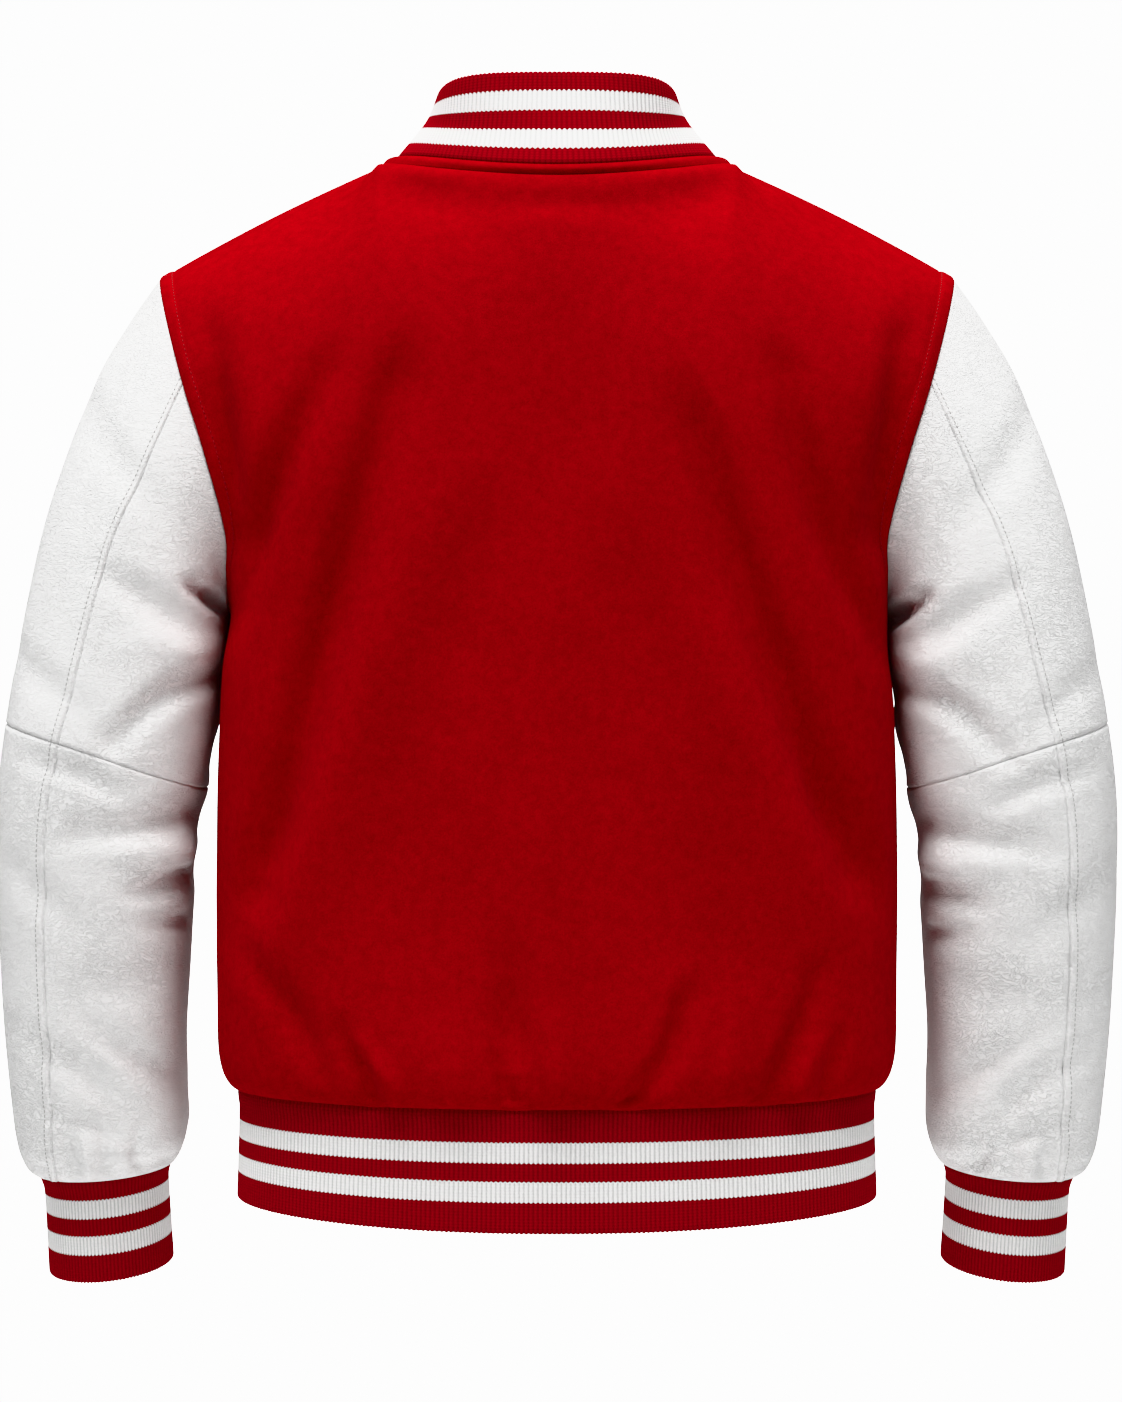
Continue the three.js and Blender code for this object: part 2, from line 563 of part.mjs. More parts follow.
// The wool band stands on the neck seam, and its ends meet at the centre front.
function addNeckBand() {
  const angles = [];
  const steps = 4 * neckColumns;
  const end = Math.PI - collarEndGap / neckHalfWidth;
  for (let i = -steps / 2; i <= steps / 2; i += 1) {
    angles.push(THREE.MathUtils.clamp(2 * Math.PI * i / steps, -end, end));
  }
  const seam = (angle) => {
    const side = Math.cos(angle) > 0 ? 'back' : 'front';
    return trunkPoint(side, neckShare * Math.sin(angle), { share: 1 });
  };
  const line = (outline) => angles.map((angle) => neckPoint(outline, angle)).reverse();
  const grid = [angles.map(seam).reverse(), line(neckOutlines.bandMiddle),
    line(neckOutlines.bandTop)];
  addPanel('neck_band', grid, bandThickness, woolRed, 2 * seamGap);
}

// Joins two rows of points, given by their places along the rows, with one strip of triangles.
function zip(triangles, lower, upper, flip) {
  let i = 0;
  let j = 0;
  while (i < lower.length - 1 || j < upper.length - 1) {
    const nextLower = i < lower.length - 1 ? lower[i + 1].u : Infinity;
    const nextUpper = j < upper.length - 1 ? upper[j + 1].u : Infinity;
    const stepLower = nextLower <= nextUpper;
    const tip = stepLower ? lower[i + 1] : upper[j + 1];
    const corners = [lower[i].index, tip.index, upper[j].index];
    triangles.push(...(flip ? corners.reverse() : corners));
    if (stepLower) i += 1;
    else j += 1;
  }
}

// A rib-knit wall. Its rows are curves that run round it, the first being the plain sewn edge
// and the rest ribbed. up points from a row towards the sewn edge. A closed wall is a tube.
function addRibbedWall(name, curves, ribs, closed) {
  const positions = [];
  const triangles = [];
  const coarse = Math.ceil(ribs / ribsPerInnerStep);
  const spot = (row, u) => {
    const here = curves[row].getPointAt(u);
    const along = curves[row].getTangentAt(u);
    const upper = curves[Math.max(row - 1, 0)].getPointAt(u);
    const lower = curves[Math.min(row + 1, curves.length - 1)].getPointAt(u);
    const outward = along.clone().cross(upper.sub(lower)).normalize();
    return { here, outward };
  };
  const makeRow = (row, count, offset) => {
    const line = [];
    for (let i = 0; i <= count; i += 1) {
      const u = i / count;
      if (closed && i === count) {
        line.push({ u, index: line[0].index });
        continue;
      }
      const { here, outward } = spot(row, u);
      positions.push(here.addScaledVector(outward, offset(i)));
      line.push({ u, index: positions.length - 1 });
    }
    return line;
  };
  const outer = curves.map((_, row) => (row === 0
    ? makeRow(row, coarse, () => 0)
    : makeRow(row, 2 * ribs, (i) => (i % 2 ? ribHeight : 0))));
  const inner = curves.map((_, row) => makeRow(row, coarse, () => -ribBaseThickness));
  const last = curves.length - 1;
  for (let row = 0; row < last; row += 1) {
    zip(triangles, outer[row + 1], outer[row], false);
    zip(triangles, inner[row + 1], inner[row], true);
    if (!closed) {
      for (const end of [0, -1]) {
        const ring = [outer[row + 1], outer[row], inner[row], inner[row + 1]];
        const [a, b, c, d] = ring.map((line) => line.at(end).index);
        triangles.push(...(end === 0 ? [a, b, c, a, c, d] : [c, b, a, d, c, a]));
      }
    }
  }
  zip(triangles, outer[0], inner[0], false);
  zip(triangles, inner[last], outer[last], false);
  return meshFrom(name, positions, triangles, knitRed);
}

const curveThrough = (points, closed) => new THREE.CatmullRomCurve3(points, closed, 'centripetal');

// The hem band laps at the centre front, its right end beneath.
function addHemBand() {
  const curves = hemSections.map((section) => {
    const over = lapHalfWidth / section.halfWidth;
    const steps = 240;
    const points = [];
    for (let i = 0; i <= steps; i += 1) {
      const angle = lerp(Math.PI + over, -Math.PI - over, i / steps);
      const side = Math.cos(angle) > 0 ? 'back' : 'front';
      const facing = side === 'back' ? 1 : -1;
      const share = Math.sin(angle);
      const x = section.halfWidth * share;
      const centre = 1 - share ** 2;
      const beneath = angle < -Math.PI / 2 ? 1 - smoothstep(-x, lapBlend.from, lapBlend.to) : 0;
      const dip = beneath * (ribBaseThickness + ribHeight + lapClearance);
      const y = facing * (section[side] * roundOff(share, section.square) - dip);
      const seamZ = trunkSections[0].height - hemSag[side] * centre;
      points.push(new THREE.Vector3(x, y, seamZ - lerp(section.side, section.centre, centre)));
    }
    return curveThrough(points, false);
  });
  for (const point of curves[0].points) point.z -= seamGap;
  addRibbedWall('hem_band', curves, hemRibs, false);
}

// A cuff is a tube below the sleeve's last ring.
function addCuff(side, sign) {
  const curves = cuffRings.map((_, ring) => {
    const points = [];
    const steps = 48;
    for (let i = 0; i < steps; i += 1) {
      const point = sleevePoint(cuffRings, ring, sign * 2 * Math.PI * i / steps, false);
      point.x *= sign;
      if (ring === 0) point.z -= seamGap;
      points.push(point);
    }
    return curveThrough(points, true);
  });
  addRibbedWall(`cuff_${side}`, curves, cuffRibs, true);
}

// A point on the straight lines that join the neck band's columns.
function facetedNeckPoint(outline, angle) {
  const step = Math.PI / 2 / neckColumns;
  const column = Math.floor(angle / step);
  const before = neckPoint(outline, column * step);
  return before.lerp(neckPoint(outline, (column + 1) * step), angle / step - column);
}

// The collar stands on the wool band, and its ends meet at the centre front.
function addCollar() {
  const { collarBase, collarMiddle, collarTop } = neckOutlines;
  const curves = [collarBase, collarMiddle, collarTop].map((outline) => {
    const end = Math.PI - collarEndGap / outline.halfWidth;
    const steps = 144;
    const at = outline === collarBase ? facetedNeckPoint : neckPoint;
    const points = [];
    for (let i = 0; i <= steps; i += 1) points.push(at(outline, lerp(-end, end, i / steps)));
    return curveThrough(points, false);
  });
  addRibbedWall('collar', curves, collarRibs, false);
}

// A snap's domed cap, turned so that it stands on the cloth.
function addSnap(name, foot, outward) {
  const profile = [
    new THREE.Vector2(0, 0),
    new THREE.Vector2(snapRadius, 0),
    new THREE.Vector2(snapRadius, snapHeight * 0.3),
    new THREE.Vector2(snapRadius * 0.78, snapHeight * 0.8),
    new THREE.Vector2(0, snapHeight),
  ];
  const cap = new THREE.Mesh(new THREE.LatheGeometry(profile, snapSides), snapWhite);
  cap.name = name;
  cap.position.copy(foot);
  cap.quaternion.setFromUnitVectors(new THREE.Vector3(0, 1, 0), outward);
  jacket.add(cap);
}

// The point and outward normal of the front's centre line at a height.
function frontCentre(height) {
  const climb = neck.front.height - underarmHeight;
  const row = (z) => (z > underarmHeight ? { share: (z - underarmHeight) / climb } : { height: z });
  const foot = trunkPoint('front', 0, row(height));
  const run = trunkPoint('front', 0, row(height + snapRadius)).sub(
    trunkPoint('front', 0, row(height - snapRadius)));
  return { foot, outward: new THREE.Vector3(0, -run.z, run.y).normalize() };
}

function addSnaps() {
  snapHeights.forEach((height, i) => {
    const { foot, outward } = frontCentre(height);
    addSnap(`snap_${i + 1}`, foot.addScaledVector(outward, 2 * seamGap), outward);
  });
  const [, above, below] = hemSections;
  const down = below.centre - above.centre;
  const out = below.front - above.front;
  const depth = lerp(above.front, below.front, (hemSnapDrop - above.centre) / down) + ribHeight;
  const seamZ = trunkSections[0].height - hemSag.front;
  const outward = new THREE.Vector3(0, -down, out).normalize();
  const foot = new THREE.Vector3(0, -depth, seamZ - hemSnapDrop);
  addSnap(`snap_${snapHeights.length + 1}`, foot.addScaledVector(outward, seamGap), outward);
}

addBack();
addFront('front_left', 1, false);
addFront('front_right', -1, true);
addSleeve('left', 1);
addSleeve('right', -1);
addNeckBand();
makePanels();
addCollar();
addHemBand();
addCuff('left', 1);
addCuff('right', -1);
addSnaps();

export default jacket;
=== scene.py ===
import math

import bmesh
import bpy
import numpy as np
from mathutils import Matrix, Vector


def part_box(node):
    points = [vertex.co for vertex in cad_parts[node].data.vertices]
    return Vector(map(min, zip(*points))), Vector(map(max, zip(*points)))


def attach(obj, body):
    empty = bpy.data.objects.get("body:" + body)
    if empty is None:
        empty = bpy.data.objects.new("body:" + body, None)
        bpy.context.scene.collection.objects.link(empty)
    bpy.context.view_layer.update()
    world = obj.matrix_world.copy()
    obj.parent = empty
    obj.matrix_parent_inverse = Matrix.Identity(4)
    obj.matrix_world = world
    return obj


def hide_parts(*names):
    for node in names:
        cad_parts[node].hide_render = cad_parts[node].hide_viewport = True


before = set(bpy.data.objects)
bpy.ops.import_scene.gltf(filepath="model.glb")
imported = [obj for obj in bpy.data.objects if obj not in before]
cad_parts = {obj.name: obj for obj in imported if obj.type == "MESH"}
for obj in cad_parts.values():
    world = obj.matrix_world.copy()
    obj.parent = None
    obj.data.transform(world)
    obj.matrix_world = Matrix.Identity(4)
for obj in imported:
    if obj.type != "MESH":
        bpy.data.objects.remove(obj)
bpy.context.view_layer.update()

# Sizes and places are in millimetres, in the part's own frame, until a mesh is made.
MM = 0.001

# Cloth thicknesses, the gap that every seam keeps, and how far a sewn edge rolls in.
WOOL_THICKNESS = 2.0
LEATHER_THICKNESS = 1.6
BAND_THICKNESS = 2.6
SEAM_GAP = 0.3
SEAM_ROLL = 0.9
SEAM_RADIUS = 2.2
LEATHER_ROLL = 1.5
LEATHER_RADIUS = 1.4
SEAM_OVERLAP = 0.2
INNER_STEP = 4

# The knit ribs, counted round each piece.
HEM_RIBS = 400
CUFF_RIBS = 108
COLLAR_RIBS = 188
RIB_SAMPLES = 6
RIB_HEIGHT = 0.8
RIB_BASE = 1.5
# How far a knit wall's last row is from the free edge, which rounds off past it.
FREE_EDGE = 1.1
WALL_SAMPLES = 1200
HEM_SAMPLES = 6000

# Neck, shoulders and armholes.
NECK_HALF_WIDTH = 112.0
NECK_SIDE_HEIGHT = -4.0
NECK_DEPTH = {"back": 98.0, "front": 92.0}
NECK_HEIGHT = {"back": -21.0, "front": -84.0}
SHOULDER_HALF_WIDTH = 251.0
NECK_SHARE = NECK_HALF_WIDTH / SHOULDER_HALF_WIDTH
SHOULDER_HEIGHT = -74.0
SHOULDER_CROWN = 2.5
NECK_SPREAD = 1.3
UNDERARM_HEIGHT = -285.0
ARMHOLE_DEPTH = 80.0
TRUNK_DEPTH = {"back": 134.0, "front": 138.0}
HEM_SAG = {"back": 3.6, "front": 2.0}

# The fronts lap at the centre: the wearer's left one lies on top.
LAP_HALF_WIDTH = 15.0
LAP_BLEND = (30.0, 58.0)
LAP_CLEARANCE = 1.0


def table(names, rows):
    """The columns of a short table, by name."""
    return dict(zip(names.split(), np.array(rows, float).T))


TRUNK = table("height half_width back front square", [
    (-584, 203.5, 129, 129, 2.7),
    (-580, 207.5, 132.5, 133, 2.7),
    (-573, 211, 136, 137, 2.7),
    (-560, 213.5, 138, 140, 2.7),
    (-535, 214, 138, 141, 2.75),
    (-500, 214, 137, 141, 2.8),
    (-450, 214, 136.5, 141, 2.9),
    (-400, 213.5, 135.5, 140, 3.1),
    (-355, 211.5, 134.5, 138.7, 3.4),
    (-318, 209, 134, 138, 3.58),
    (-285, 207, 134, 138, 3.6),
])

ARMHOLE = table("share half_width", [
    (0, 207), (0.1, 205), (0.22, 204), (0.45, 216), (0.65, 229.5), (1, 251),
])

SLEEVE = table("ring out_x out_z in_x in_z mid_y depth drop seam", [
    (0, 251, -74, 207, -285, 0, 80, 0, 72),
    (1, 269, -100, 207.6, -291, 1, 80, 0, 76.5),
    (2, 290, -136, 208.9, -303, 2, 79, 1, 79),
    (3, 310, -187, 211.2, -321, 3, 78, 1.5, 77),
    (4, 325, -236, 214.4, -345, 4, 77, 2, 76),
    (5, 338, -298, 218.4, -371, 4, 75.5, 1, 74),
    (6, 348, -355, 223.2, -397, 3, 73.5, -1, 71),
    (7, 353.8, -402, 229.4, -429, 0, 71.5, 1, 69),
    (8, 354.8, -452, 232.8, -468, -5, 69, 3, 68),
    (9, 354, -504, 236, -511, -13, 66, 5, 67.5),
    (10, 351.8, -556, 239.4, -558, -21, 63, 6, 68),
    (11, 348.5, -602, 238.8, -602, -29, 60.5, 5.5, 66),
    (12, 346.4, -623, 239.2, -620, -32.5, 59, 5, 64),
    (13, 344.4, -633, 241.6, -629, -34.5, 56.5, 4.5, 62.5),
    (14, 340.8, -640.5, 244.6, -635, -35.5, 52, 4.5, 59.5),
    (15, 335.8, -644.5, 247.4, -638.5, -36, 46.5, 4.5, 56),
])
ELBOW_RING = 6
BOW_RINGS = 4
FRONT_SEAM_ANGLE = 252.0

CUFF = table("ring out_x out_z in_x in_z mid_y depth drop", [
    (-0.3, 331.5, -640.5, 251, -634.5, -35.5, 42.5, 4.5),
    (0.2, 332, -647, 250, -641, -36.3, 43.4, 4.6),
    (1, 329.4, -656.5, 251.4, -649.5, -37.5, 42, 5),
    (2, 327.6, -708.5, 249, -701.5, -45.5, 41.5, 6.5),
])

# The knit's sewn edges run on for a few millimetres inside what they are sewn to.
TUCK = 4.0
HEM = table("side centre half_width back front", [
    (-4, -4, 199.6, 125.4, 125.4),
    (3, 3, 200.6, 127, 127),
    (12, 12, 199.6, 126.2, 126.2),
    (68, 74, 201, 128, 128),
])
HEM_SQUARE = 2.7

NECK_OUTLINES = table("half_width back front side_z back_z front_z square rise", [
    (112, 98, 92, -4, -21, -84, 2, 0),
    (107.6, 98.5, 91, 0.2, -17.8, -78, 2, 0),
    (101.6, 95.5, 87, 1.4, -14.2, -73, 2, 0),
    (101, 95.2, 86.6, 1.9, -13.7, -72.5, 2, 0),
    (84, 84.5, 78.5, 22, 12, -56, 2.3, 0.5),
    (75.5, 75.5, 74, 36, 45.2, -33, 3, 1),
])
COLLAR_END_GAP = 0.8
COLLAR_TUCK = {"in": 2.6, "down": 3.4}
BAND_TUCK = {"in": 3.4, "down": 3.0}
BAND_PLUMP = 0.6

# The stripes of each knit piece as the places of their edges, in millimetres from the sewn
# edge, and the whole length.
HEM_STRIPES = (19.0, 31.3, 42.6, 54.9, 73.5)
CUFF_STRIPES = (12.0, 24.2, 35.7, 48.2, 65.0)
COLLAR_STRIPES = (9.9, 23.2, 36.4, 49.4, 62.2)

# Creases as lines seen from behind or in front. Each bows by a distance to the left of its way
# from 1 to 2, and has a width on its left and its right. It is a trough between two low lips
# where its depth is positive, and a ridge where it is negative.
CREASE = "x1 z1 x2 z2 bow left right depth"
BACK_CREASES = table(CREASE, [
    (100, -160, 184, -452, 0, 14, 20, 14),
    (-86, -186, -182, -436, 3, 20, 14, 14),
    (146, -152, 196, -282, 3, 12, 15, 10),
    (-140, -148, -194, -300, 8, 15, 12, 10),
    (212, -128, 196, -232, 3, 12, 14, 10),
    (-212, -128, -196, -232, -3, 14, 12, 10),
    (168, -400, 186, -448, 0, 12, 16, 5),
    (-156, -376, -180, -432, 0, 16, 12, 6),
    (62, -215, 158, -470, 4, 26, 24, -4),
    (-50, -240, -136, -440, -4, 24, 26, -4),
    (6, -150, 2, -310, 4, 32, 32, 4),
    (-12, -335, -16, -500, 0, 24, 24, 4),
    (92, -405, 96, -510, 3, 26, 26, 4.5),
    (-92, -455, -106, -520, 0, 22, 22, 4.5),
    (26, -40, -34, -40, 0, 9, 10, 2.5),
    (188, -500, 144, -560, -3, 12, 12, 6),
    (30, -508, 26, -566, 0, 14, 14, 9),
    (34, -562, 20, -594, 2, 5, 6, 4),
    (128, -546, 110, -594, -3, 8, 8, 7),
    (116, -552, 94, -590, -3, 7, 7, -4),
    (66, -552, 60, -592, 0, 12, 12, -3.5),
    (2, -546, -2, -592, 0, 11, 11, -4),
    (-74, -526, -32, -596, -7, 8, 12, 9),
    (-62, -556, -54, -592, 0, 8, 8, -4.5),
    (-106, -545, -98, -592, 0, 11, 11, -4),
    (-156, -512, -118, -594, -4, 9, 11, 7),
    (-150, -556, -142, -592, 0, 8, 8, -3.5),
    (-172, -550, -162, -592, 2, 7, 7, 5),
])
FRONT_CREASES = table(CREASE, [
    (212, -132, 196, -232, 3, 12, 14, 9),
    (-212, -132, -196, -232, -3, 14, 12, 9),
    (140, -165, 178, -420, 4, 14, 20, 12),
    (-134, -155, -176, -440, -4, 20, 14, 12),
    (92, -230, 138, -470, 4, 24, 24, -3.5),
    (-88, -240, -134, -470, -4, 24, 24, -3.5),
    (182, -500, 152, -560, -3, 12, 12, 5),
    (130, -545, 120, -594, 2, 9, 9, 6),
    (104, -552, 98, -592, 0, 10, 10, -4),
    (84, -535, 74, -594, -4, 9, 12, 7),
    (48, -555, 50, -594, 0, 8, 8, 4),
    (-76, -530, -66, -594, 4, 12, 9, 7.5),
    (-102, -548, -98, -592, 0, 11, 11, -4),
    (-124, -545, -134, -594, 3, 10, 9, 6),
    (-178, -545, -168, -592, -2, 9, 9, 5),
])
CREASE_SEAM_FADE = 11.0
GATHER_FADE = 7.0
# The depth of a crease's lips and ends as shares of its own, and how softly its sides run out.
LIP = 0.5
CREASE_END = 0.55
CREASE_SPREAD = 1.2

# Creases of the left sleeve's back and front halves. The right sleeve has them mirrored.
SLEEVE_BACK_CREASES = table(CREASE, [
    (290, -160, 256, -212, 4, 12, 14, 3),
    (270, -270, 225, -302, -3, 10, 12, 4.5),
    (217, -276, 198, -288, 0, 6, 7, 14),
    (240, -306, 208, -308, 2, 14, 12, -4),
    (210, -326, 266, -364, 5, 11, 8, 6.5),
    (330, -318, 300, -344, 0, 12, 12, 2.5),
    (316, -382, 274, -398, -3, 7, 10, 3.5),
    (286, -424, 216, -408, 4, 8, 13, 6),
    (218, -450, 250, -458, 3, 8, 8, 7),
    (222, -484, 244, -480, 2, 7, 9, 5),
    (330, -452, 304, -474, 0, 12, 12, 3),
    (292, -520, 244, -508, 5, 16, 14, 2.5),
    (284, -550, 240, -580, 0, 10, 12, 5),
    (254, -436, 222, -438, 0, 13, 13, -5),
    (320, -562, 276, -599, -6, 9, 13, 4.5),
    (310, -605, 268, -622, -4, 6, 10, 4),
    (308, -616, 303, -646, 0, 4.5, 6, 5),
    (296, -628, 294, -646, 0, 5, 5, -3),
    (284, -622, 281, -646, 0, 5, 5, 4),
    (262, -616, 266, -646, 0, 5, 6, 4.5),
])
SLEEVE_FRONT_CREASES = table(CREASE, [
    (284, -170, 256, -214, 4, 14, 14, 3.5),
    (272, -262, 208, -284, -5, 10, 14, 10),
    (242, -308, 208, -306, 2, 16, 16, -4),
    (208, -328, 262, -360, 5, 13, 10, 7),
    (292, -400, 226, -378, 5, 11, 14, 7),
    (232, -420, 300, -440, 5, 12, 10, 6),
    (310, -470, 240, -450, 4, 11, 13, 4.5),
    (314, -556, 262, -586, -5, 10, 14, 5),
    (298, -604, 262, -616, -3, 8, 10, 4.5),
    (320, -618, 316, -645, 0, 5, 6, 4),
    (290, -620, 294, -645, 0, 5, 6, 3.5),
    (270, -618, 268, -645, 0, 6, 5, 3.5),
])
# How far the right sleeve's creases are from the left one's mirror image.
RIGHT_SHIFT = {"x": 2.0, "z": -7.0}
# The rings over which the sleeve's creases and its fullness come in and fade out, how far each
# half's creases fade towards the sleeve's sides, and how deep the fullness is.
CREASE_RINGS = (0.3, 1.5, 13, 14.7)
FULLNESS_RINGS = (0.5, 4, 11, 13.5)
HALF_FADE = 0.45
SLEEVE_FULLNESS = {"outer": 4.0, "inner": 9.0}

# Topstitch: its distance from the seam, and its thread stitches' profile as places along one,
# radii and depths below the cloth's surface.
WOOL_TOPSTITCH = 9.5
LAP_TOPSTITCH = 6.0
LEATHER_TOPSTITCH = 4.6
STITCH_START_ROW = 22
STITCH_PITCH = 3.2
STITCH_SIDES = 6
STITCH_PROFILE = ((-1.25, 0.14, 0.35), (-0.75, 0.36, 0.02), (0.75, 0.36, 0.02), (1.25, 0.14, 0.35))
TURNED_EDGE = 0.9
STITCH_VALLEY = 0.7
FELL_WIDTH = 5.6
FELL_HEIGHT = 0.45

# Lines of a panel's mesh that lie close to its edges, by their distance from the edge. The
# wool's run on to both sides of its topstitch.
EDGE_LINES = (0.5, 1.2, 2.2)
TOPSTITCH_LINES = (0.5, 1.2, 2.2, 4.5, 6.5, 8.0, 9.0, 9.8, 10.6, 11.8)
TRUNK_COLUMNS = 240
FRONT_COLUMNS = 128
TRUNK_LOWER_ROWS = 120
TRUNK_UPPER_ROWS = 120
JOINT_ROWS = 7.0
JOINT_SIDE = 6.0
JOINT_PASSES = 24
SLEEVE_UPPER_COLUMNS = 96
SLEEVE_UNDER_COLUMNS = 104
SLEEVE_ROWS_PER_RING = 16
SECTION_SAMPLES = 500


def smoothstep(x, start, end):
    t = np.clip((x - start) / (end - start), 0, 1)
    return t * t * (3 - 2 * t)


def between(x, start, full, fading, end):
    """Rises from nothing at start to one at full, and falls from one at fading to nothing."""
    return smoothstep(x, start, full) * (1 - smoothstep(x, fading, end))


def lerp(a, b, t):
    return a + (b - a) * t


def read(columns, key, column, x):
    """The value of a table's column at x along its key column, on a smooth cubic."""
    xs, ys = columns[key], columns[column]
    if xs[-1] < xs[0]:
        xs, ys = xs[::-1], ys[::-1]
    before = np.maximum(np.arange(len(xs)) - 1, 0)
    after = np.minimum(np.arange(len(xs)) + 1, len(xs) - 1)
    slopes = (ys[after] - ys[before]) / (xs[after] - xs[before])
    i = np.clip(np.searchsorted(xs, x, side="right") - 1, 0, len(xs) - 2)
    step = xs[i + 1] - xs[i]
    t = (x - xs[i]) / step
    start = ys[i] * (1 + 2 * t) * (1 - t) ** 2
    end = ys[i + 1] * (3 - 2 * t) * t * t
    return start + end + step * (slopes[i] * t * (1 - t) ** 2 - slopes[i + 1] * t * t * (1 - t))


def unit(vectors):
    return vectors / np.maximum(np.linalg.norm(vectors, axis=-1, keepdims=True), 1e-9)


def arc_lengths(line):
    """How far each point of a line is along it from the first one."""
    return np.concatenate([[0], np.cumsum(np.linalg.norm(np.diff(line, axis=0), axis=1))])


def at_places(values, arc, places):
    """The values of a line's points at places along it."""
    return np.stack([np.interp(places, arc, values[:, k]) for k in range(3)], -1)


def neck_depth(side, share, w):
    """The neck seam's depth. Below the seam its form widens and softens into the shoulders."""
    reach = NECK_SHARE + NECK_SPREAD * (1 - w)
    softness = lerp(0.5, 1.8, smoothstep(1 - w, 0, 0.12))
    return NECK_DEPTH[side] * np.maximum(1 - (share / reach) ** 2, 0) ** softness


def middle_depth(side, share, w):
    """The trunk's depth above the underarm before its sides round off towards the armholes."""
    fall = (1 - w ** 3) ** lerp(0.8, 0.5, smoothstep(share, 0, NECK_SHARE))
    return lerp(neck_depth(side, share, w), TRUNK_DEPTH[side], fall)


def top_height(side, share):
    """Height of the trunk's top edge, the neck seam or the shoulder seam."""
    neck = lerp(NECK_HEIGHT[side], NECK_SIDE_HEIGHT, (share / NECK_SHARE) ** 2)
    along = (share - NECK_SHARE) / (1 - NECK_SHARE)
    crown = SHOULDER_CROWN * np.sin(math.pi * along)
    shoulder = lerp(NECK_SIDE_HEIGHT, SHOULDER_HEIGHT, along) + crown
    return np.where(share < NECK_SHARE, neck, shoulder)


def trunk_below(side, across, height):
    """Points of the trunk below the underarm. across is a share of the row's half-width."""
    facing = 1 if side == "back" else -1
    share = np.abs(across)
    square = read(TRUNK, "height", "square", height)
    outline = np.maximum(1 - share ** square, 0) ** (1 / square)
    x = read(TRUNK, "height", "half_width", height) * across
    y = facing * read(TRUNK, "height", side, height) * outline
    z = height - HEM_SAG[side] * (1 - share ** 2) * smoothstep(-height, 540, 584)
    return np.stack([x, y, z], -1)


def trunk_above(side, across, w):
    """Points of the trunk above the underarm, where w is the share of the way to the top."""
    facing = 1 if side == "back" else -1
    share = np.abs(across)
    square = TRUNK["square"][-1]
    edge = ARMHOLE_DEPTH * 2 * np.sqrt(np.maximum(w * (1 - w), 0))
    middle = middle_depth(side, share, w)
    outer = np.maximum(middle_depth(side, np.ones_like(share), w), 1e-6)
    cut = 1 - np.minimum(edge / outer, 1) ** square
    y = middle * np.maximum(1 - cut * share ** square, 0) ** (1 / square)
    x = read(ARMHOLE, "share", "half_width", w) * across
    z = lerp(UNDERARM_HEIGHT, top_height(side, share), w)
    return np.stack([x, facing * y, z], -1)


def section_shares(count):
    """Shares of the half-width spread along a boxy section, from its centre to its side."""
    angle = np.linspace(0, math.pi / 2, count + 1)
    return np.sin(angle) ** (2 / 3)


def respaced(line, places):
    """A line of points moved to places along it, each a share or a distance from an end."""
    arc = arc_lengths(line)
    return at_places(line, arc, places(arc[-1]))


def even_places(count, near_start=EDGE_LINES, near_end=EDGE_LINES):
    """Places spaced evenly along a line, with more at given distances from its two ends."""
    def places(length):
        inside = np.linspace(0, 1, count + 1 - len(near_start) - len(near_end))
        start, end = near_start[-1] + 1.5, length - near_end[-1] - 1.5
        middle = lerp(start, end, inside[1:-1])
        return np.concatenate([[0], near_start, middle, length - np.array(near_end)[::-1],
                               [length]])
    return places


def trunk_grid(side, across_of_row, places):
    """The trunk's fine rows from the hem to the top. across_of_row takes the half-width."""
    low, high = TRUNK["height"][0], UNDERARM_HEIGHT
    t = np.linspace(0, 1, TRUNK_LOWER_ROWS + 1)
    heights = lerp(low, high, 0.45 * t * t + 0.55 * t)
    even = np.linspace(0, 1, TRUNK_UPPER_ROWS + 1)
    shares = lerp(even, (1 - np.cos(math.pi * even)) / 2, 0.6)
    rows = []
    for height in heights:
        half = read(TRUNK, "height", "half_width", np.array([height]))
        rows.append(trunk_below(side, across_of_row(half), np.array([height])))
    for w in shares[1:]:
        half = read(ARMHOLE, "share", "half_width", np.array([w]))
        rows.append(trunk_above(side, across_of_row(half), np.array([w])))
    return eased_joint(np.array([respaced(row, places) for row in rows]))


def eased_joint(grid):
    """The rows near the underarm evened out, save at the sides, where the sleeves are sewn."""
    row = np.arange(1, len(grid) - 1)
    near = np.exp(-(((row - TRUNK_LOWER_ROWS) / JOINT_ROWS) ** 2))[:, None]
    share = (near * smoothstep(side_distance(grid)[1:-1], 0.5, JOINT_SIDE))[..., None]
    for _ in range(JOINT_PASSES):
        middle = (grid[:-2] + grid[2:]) / 2
        grid = np.concatenate([grid[:1], lerp(grid[1:-1], middle, share), grid[-1:]])
    return grid


def grid_normals(grid, wrap=False):
    """Outward unit normals of a grid whose rows run to the right, seen from outside, and up."""
    if wrap:
        across = np.roll(grid, -1, 1) - np.roll(grid, 1, 1)
    else:
        across = np.gradient(grid, axis=1)
    up = np.gradient(grid, axis=0)
    return unit(np.cross(across, up))


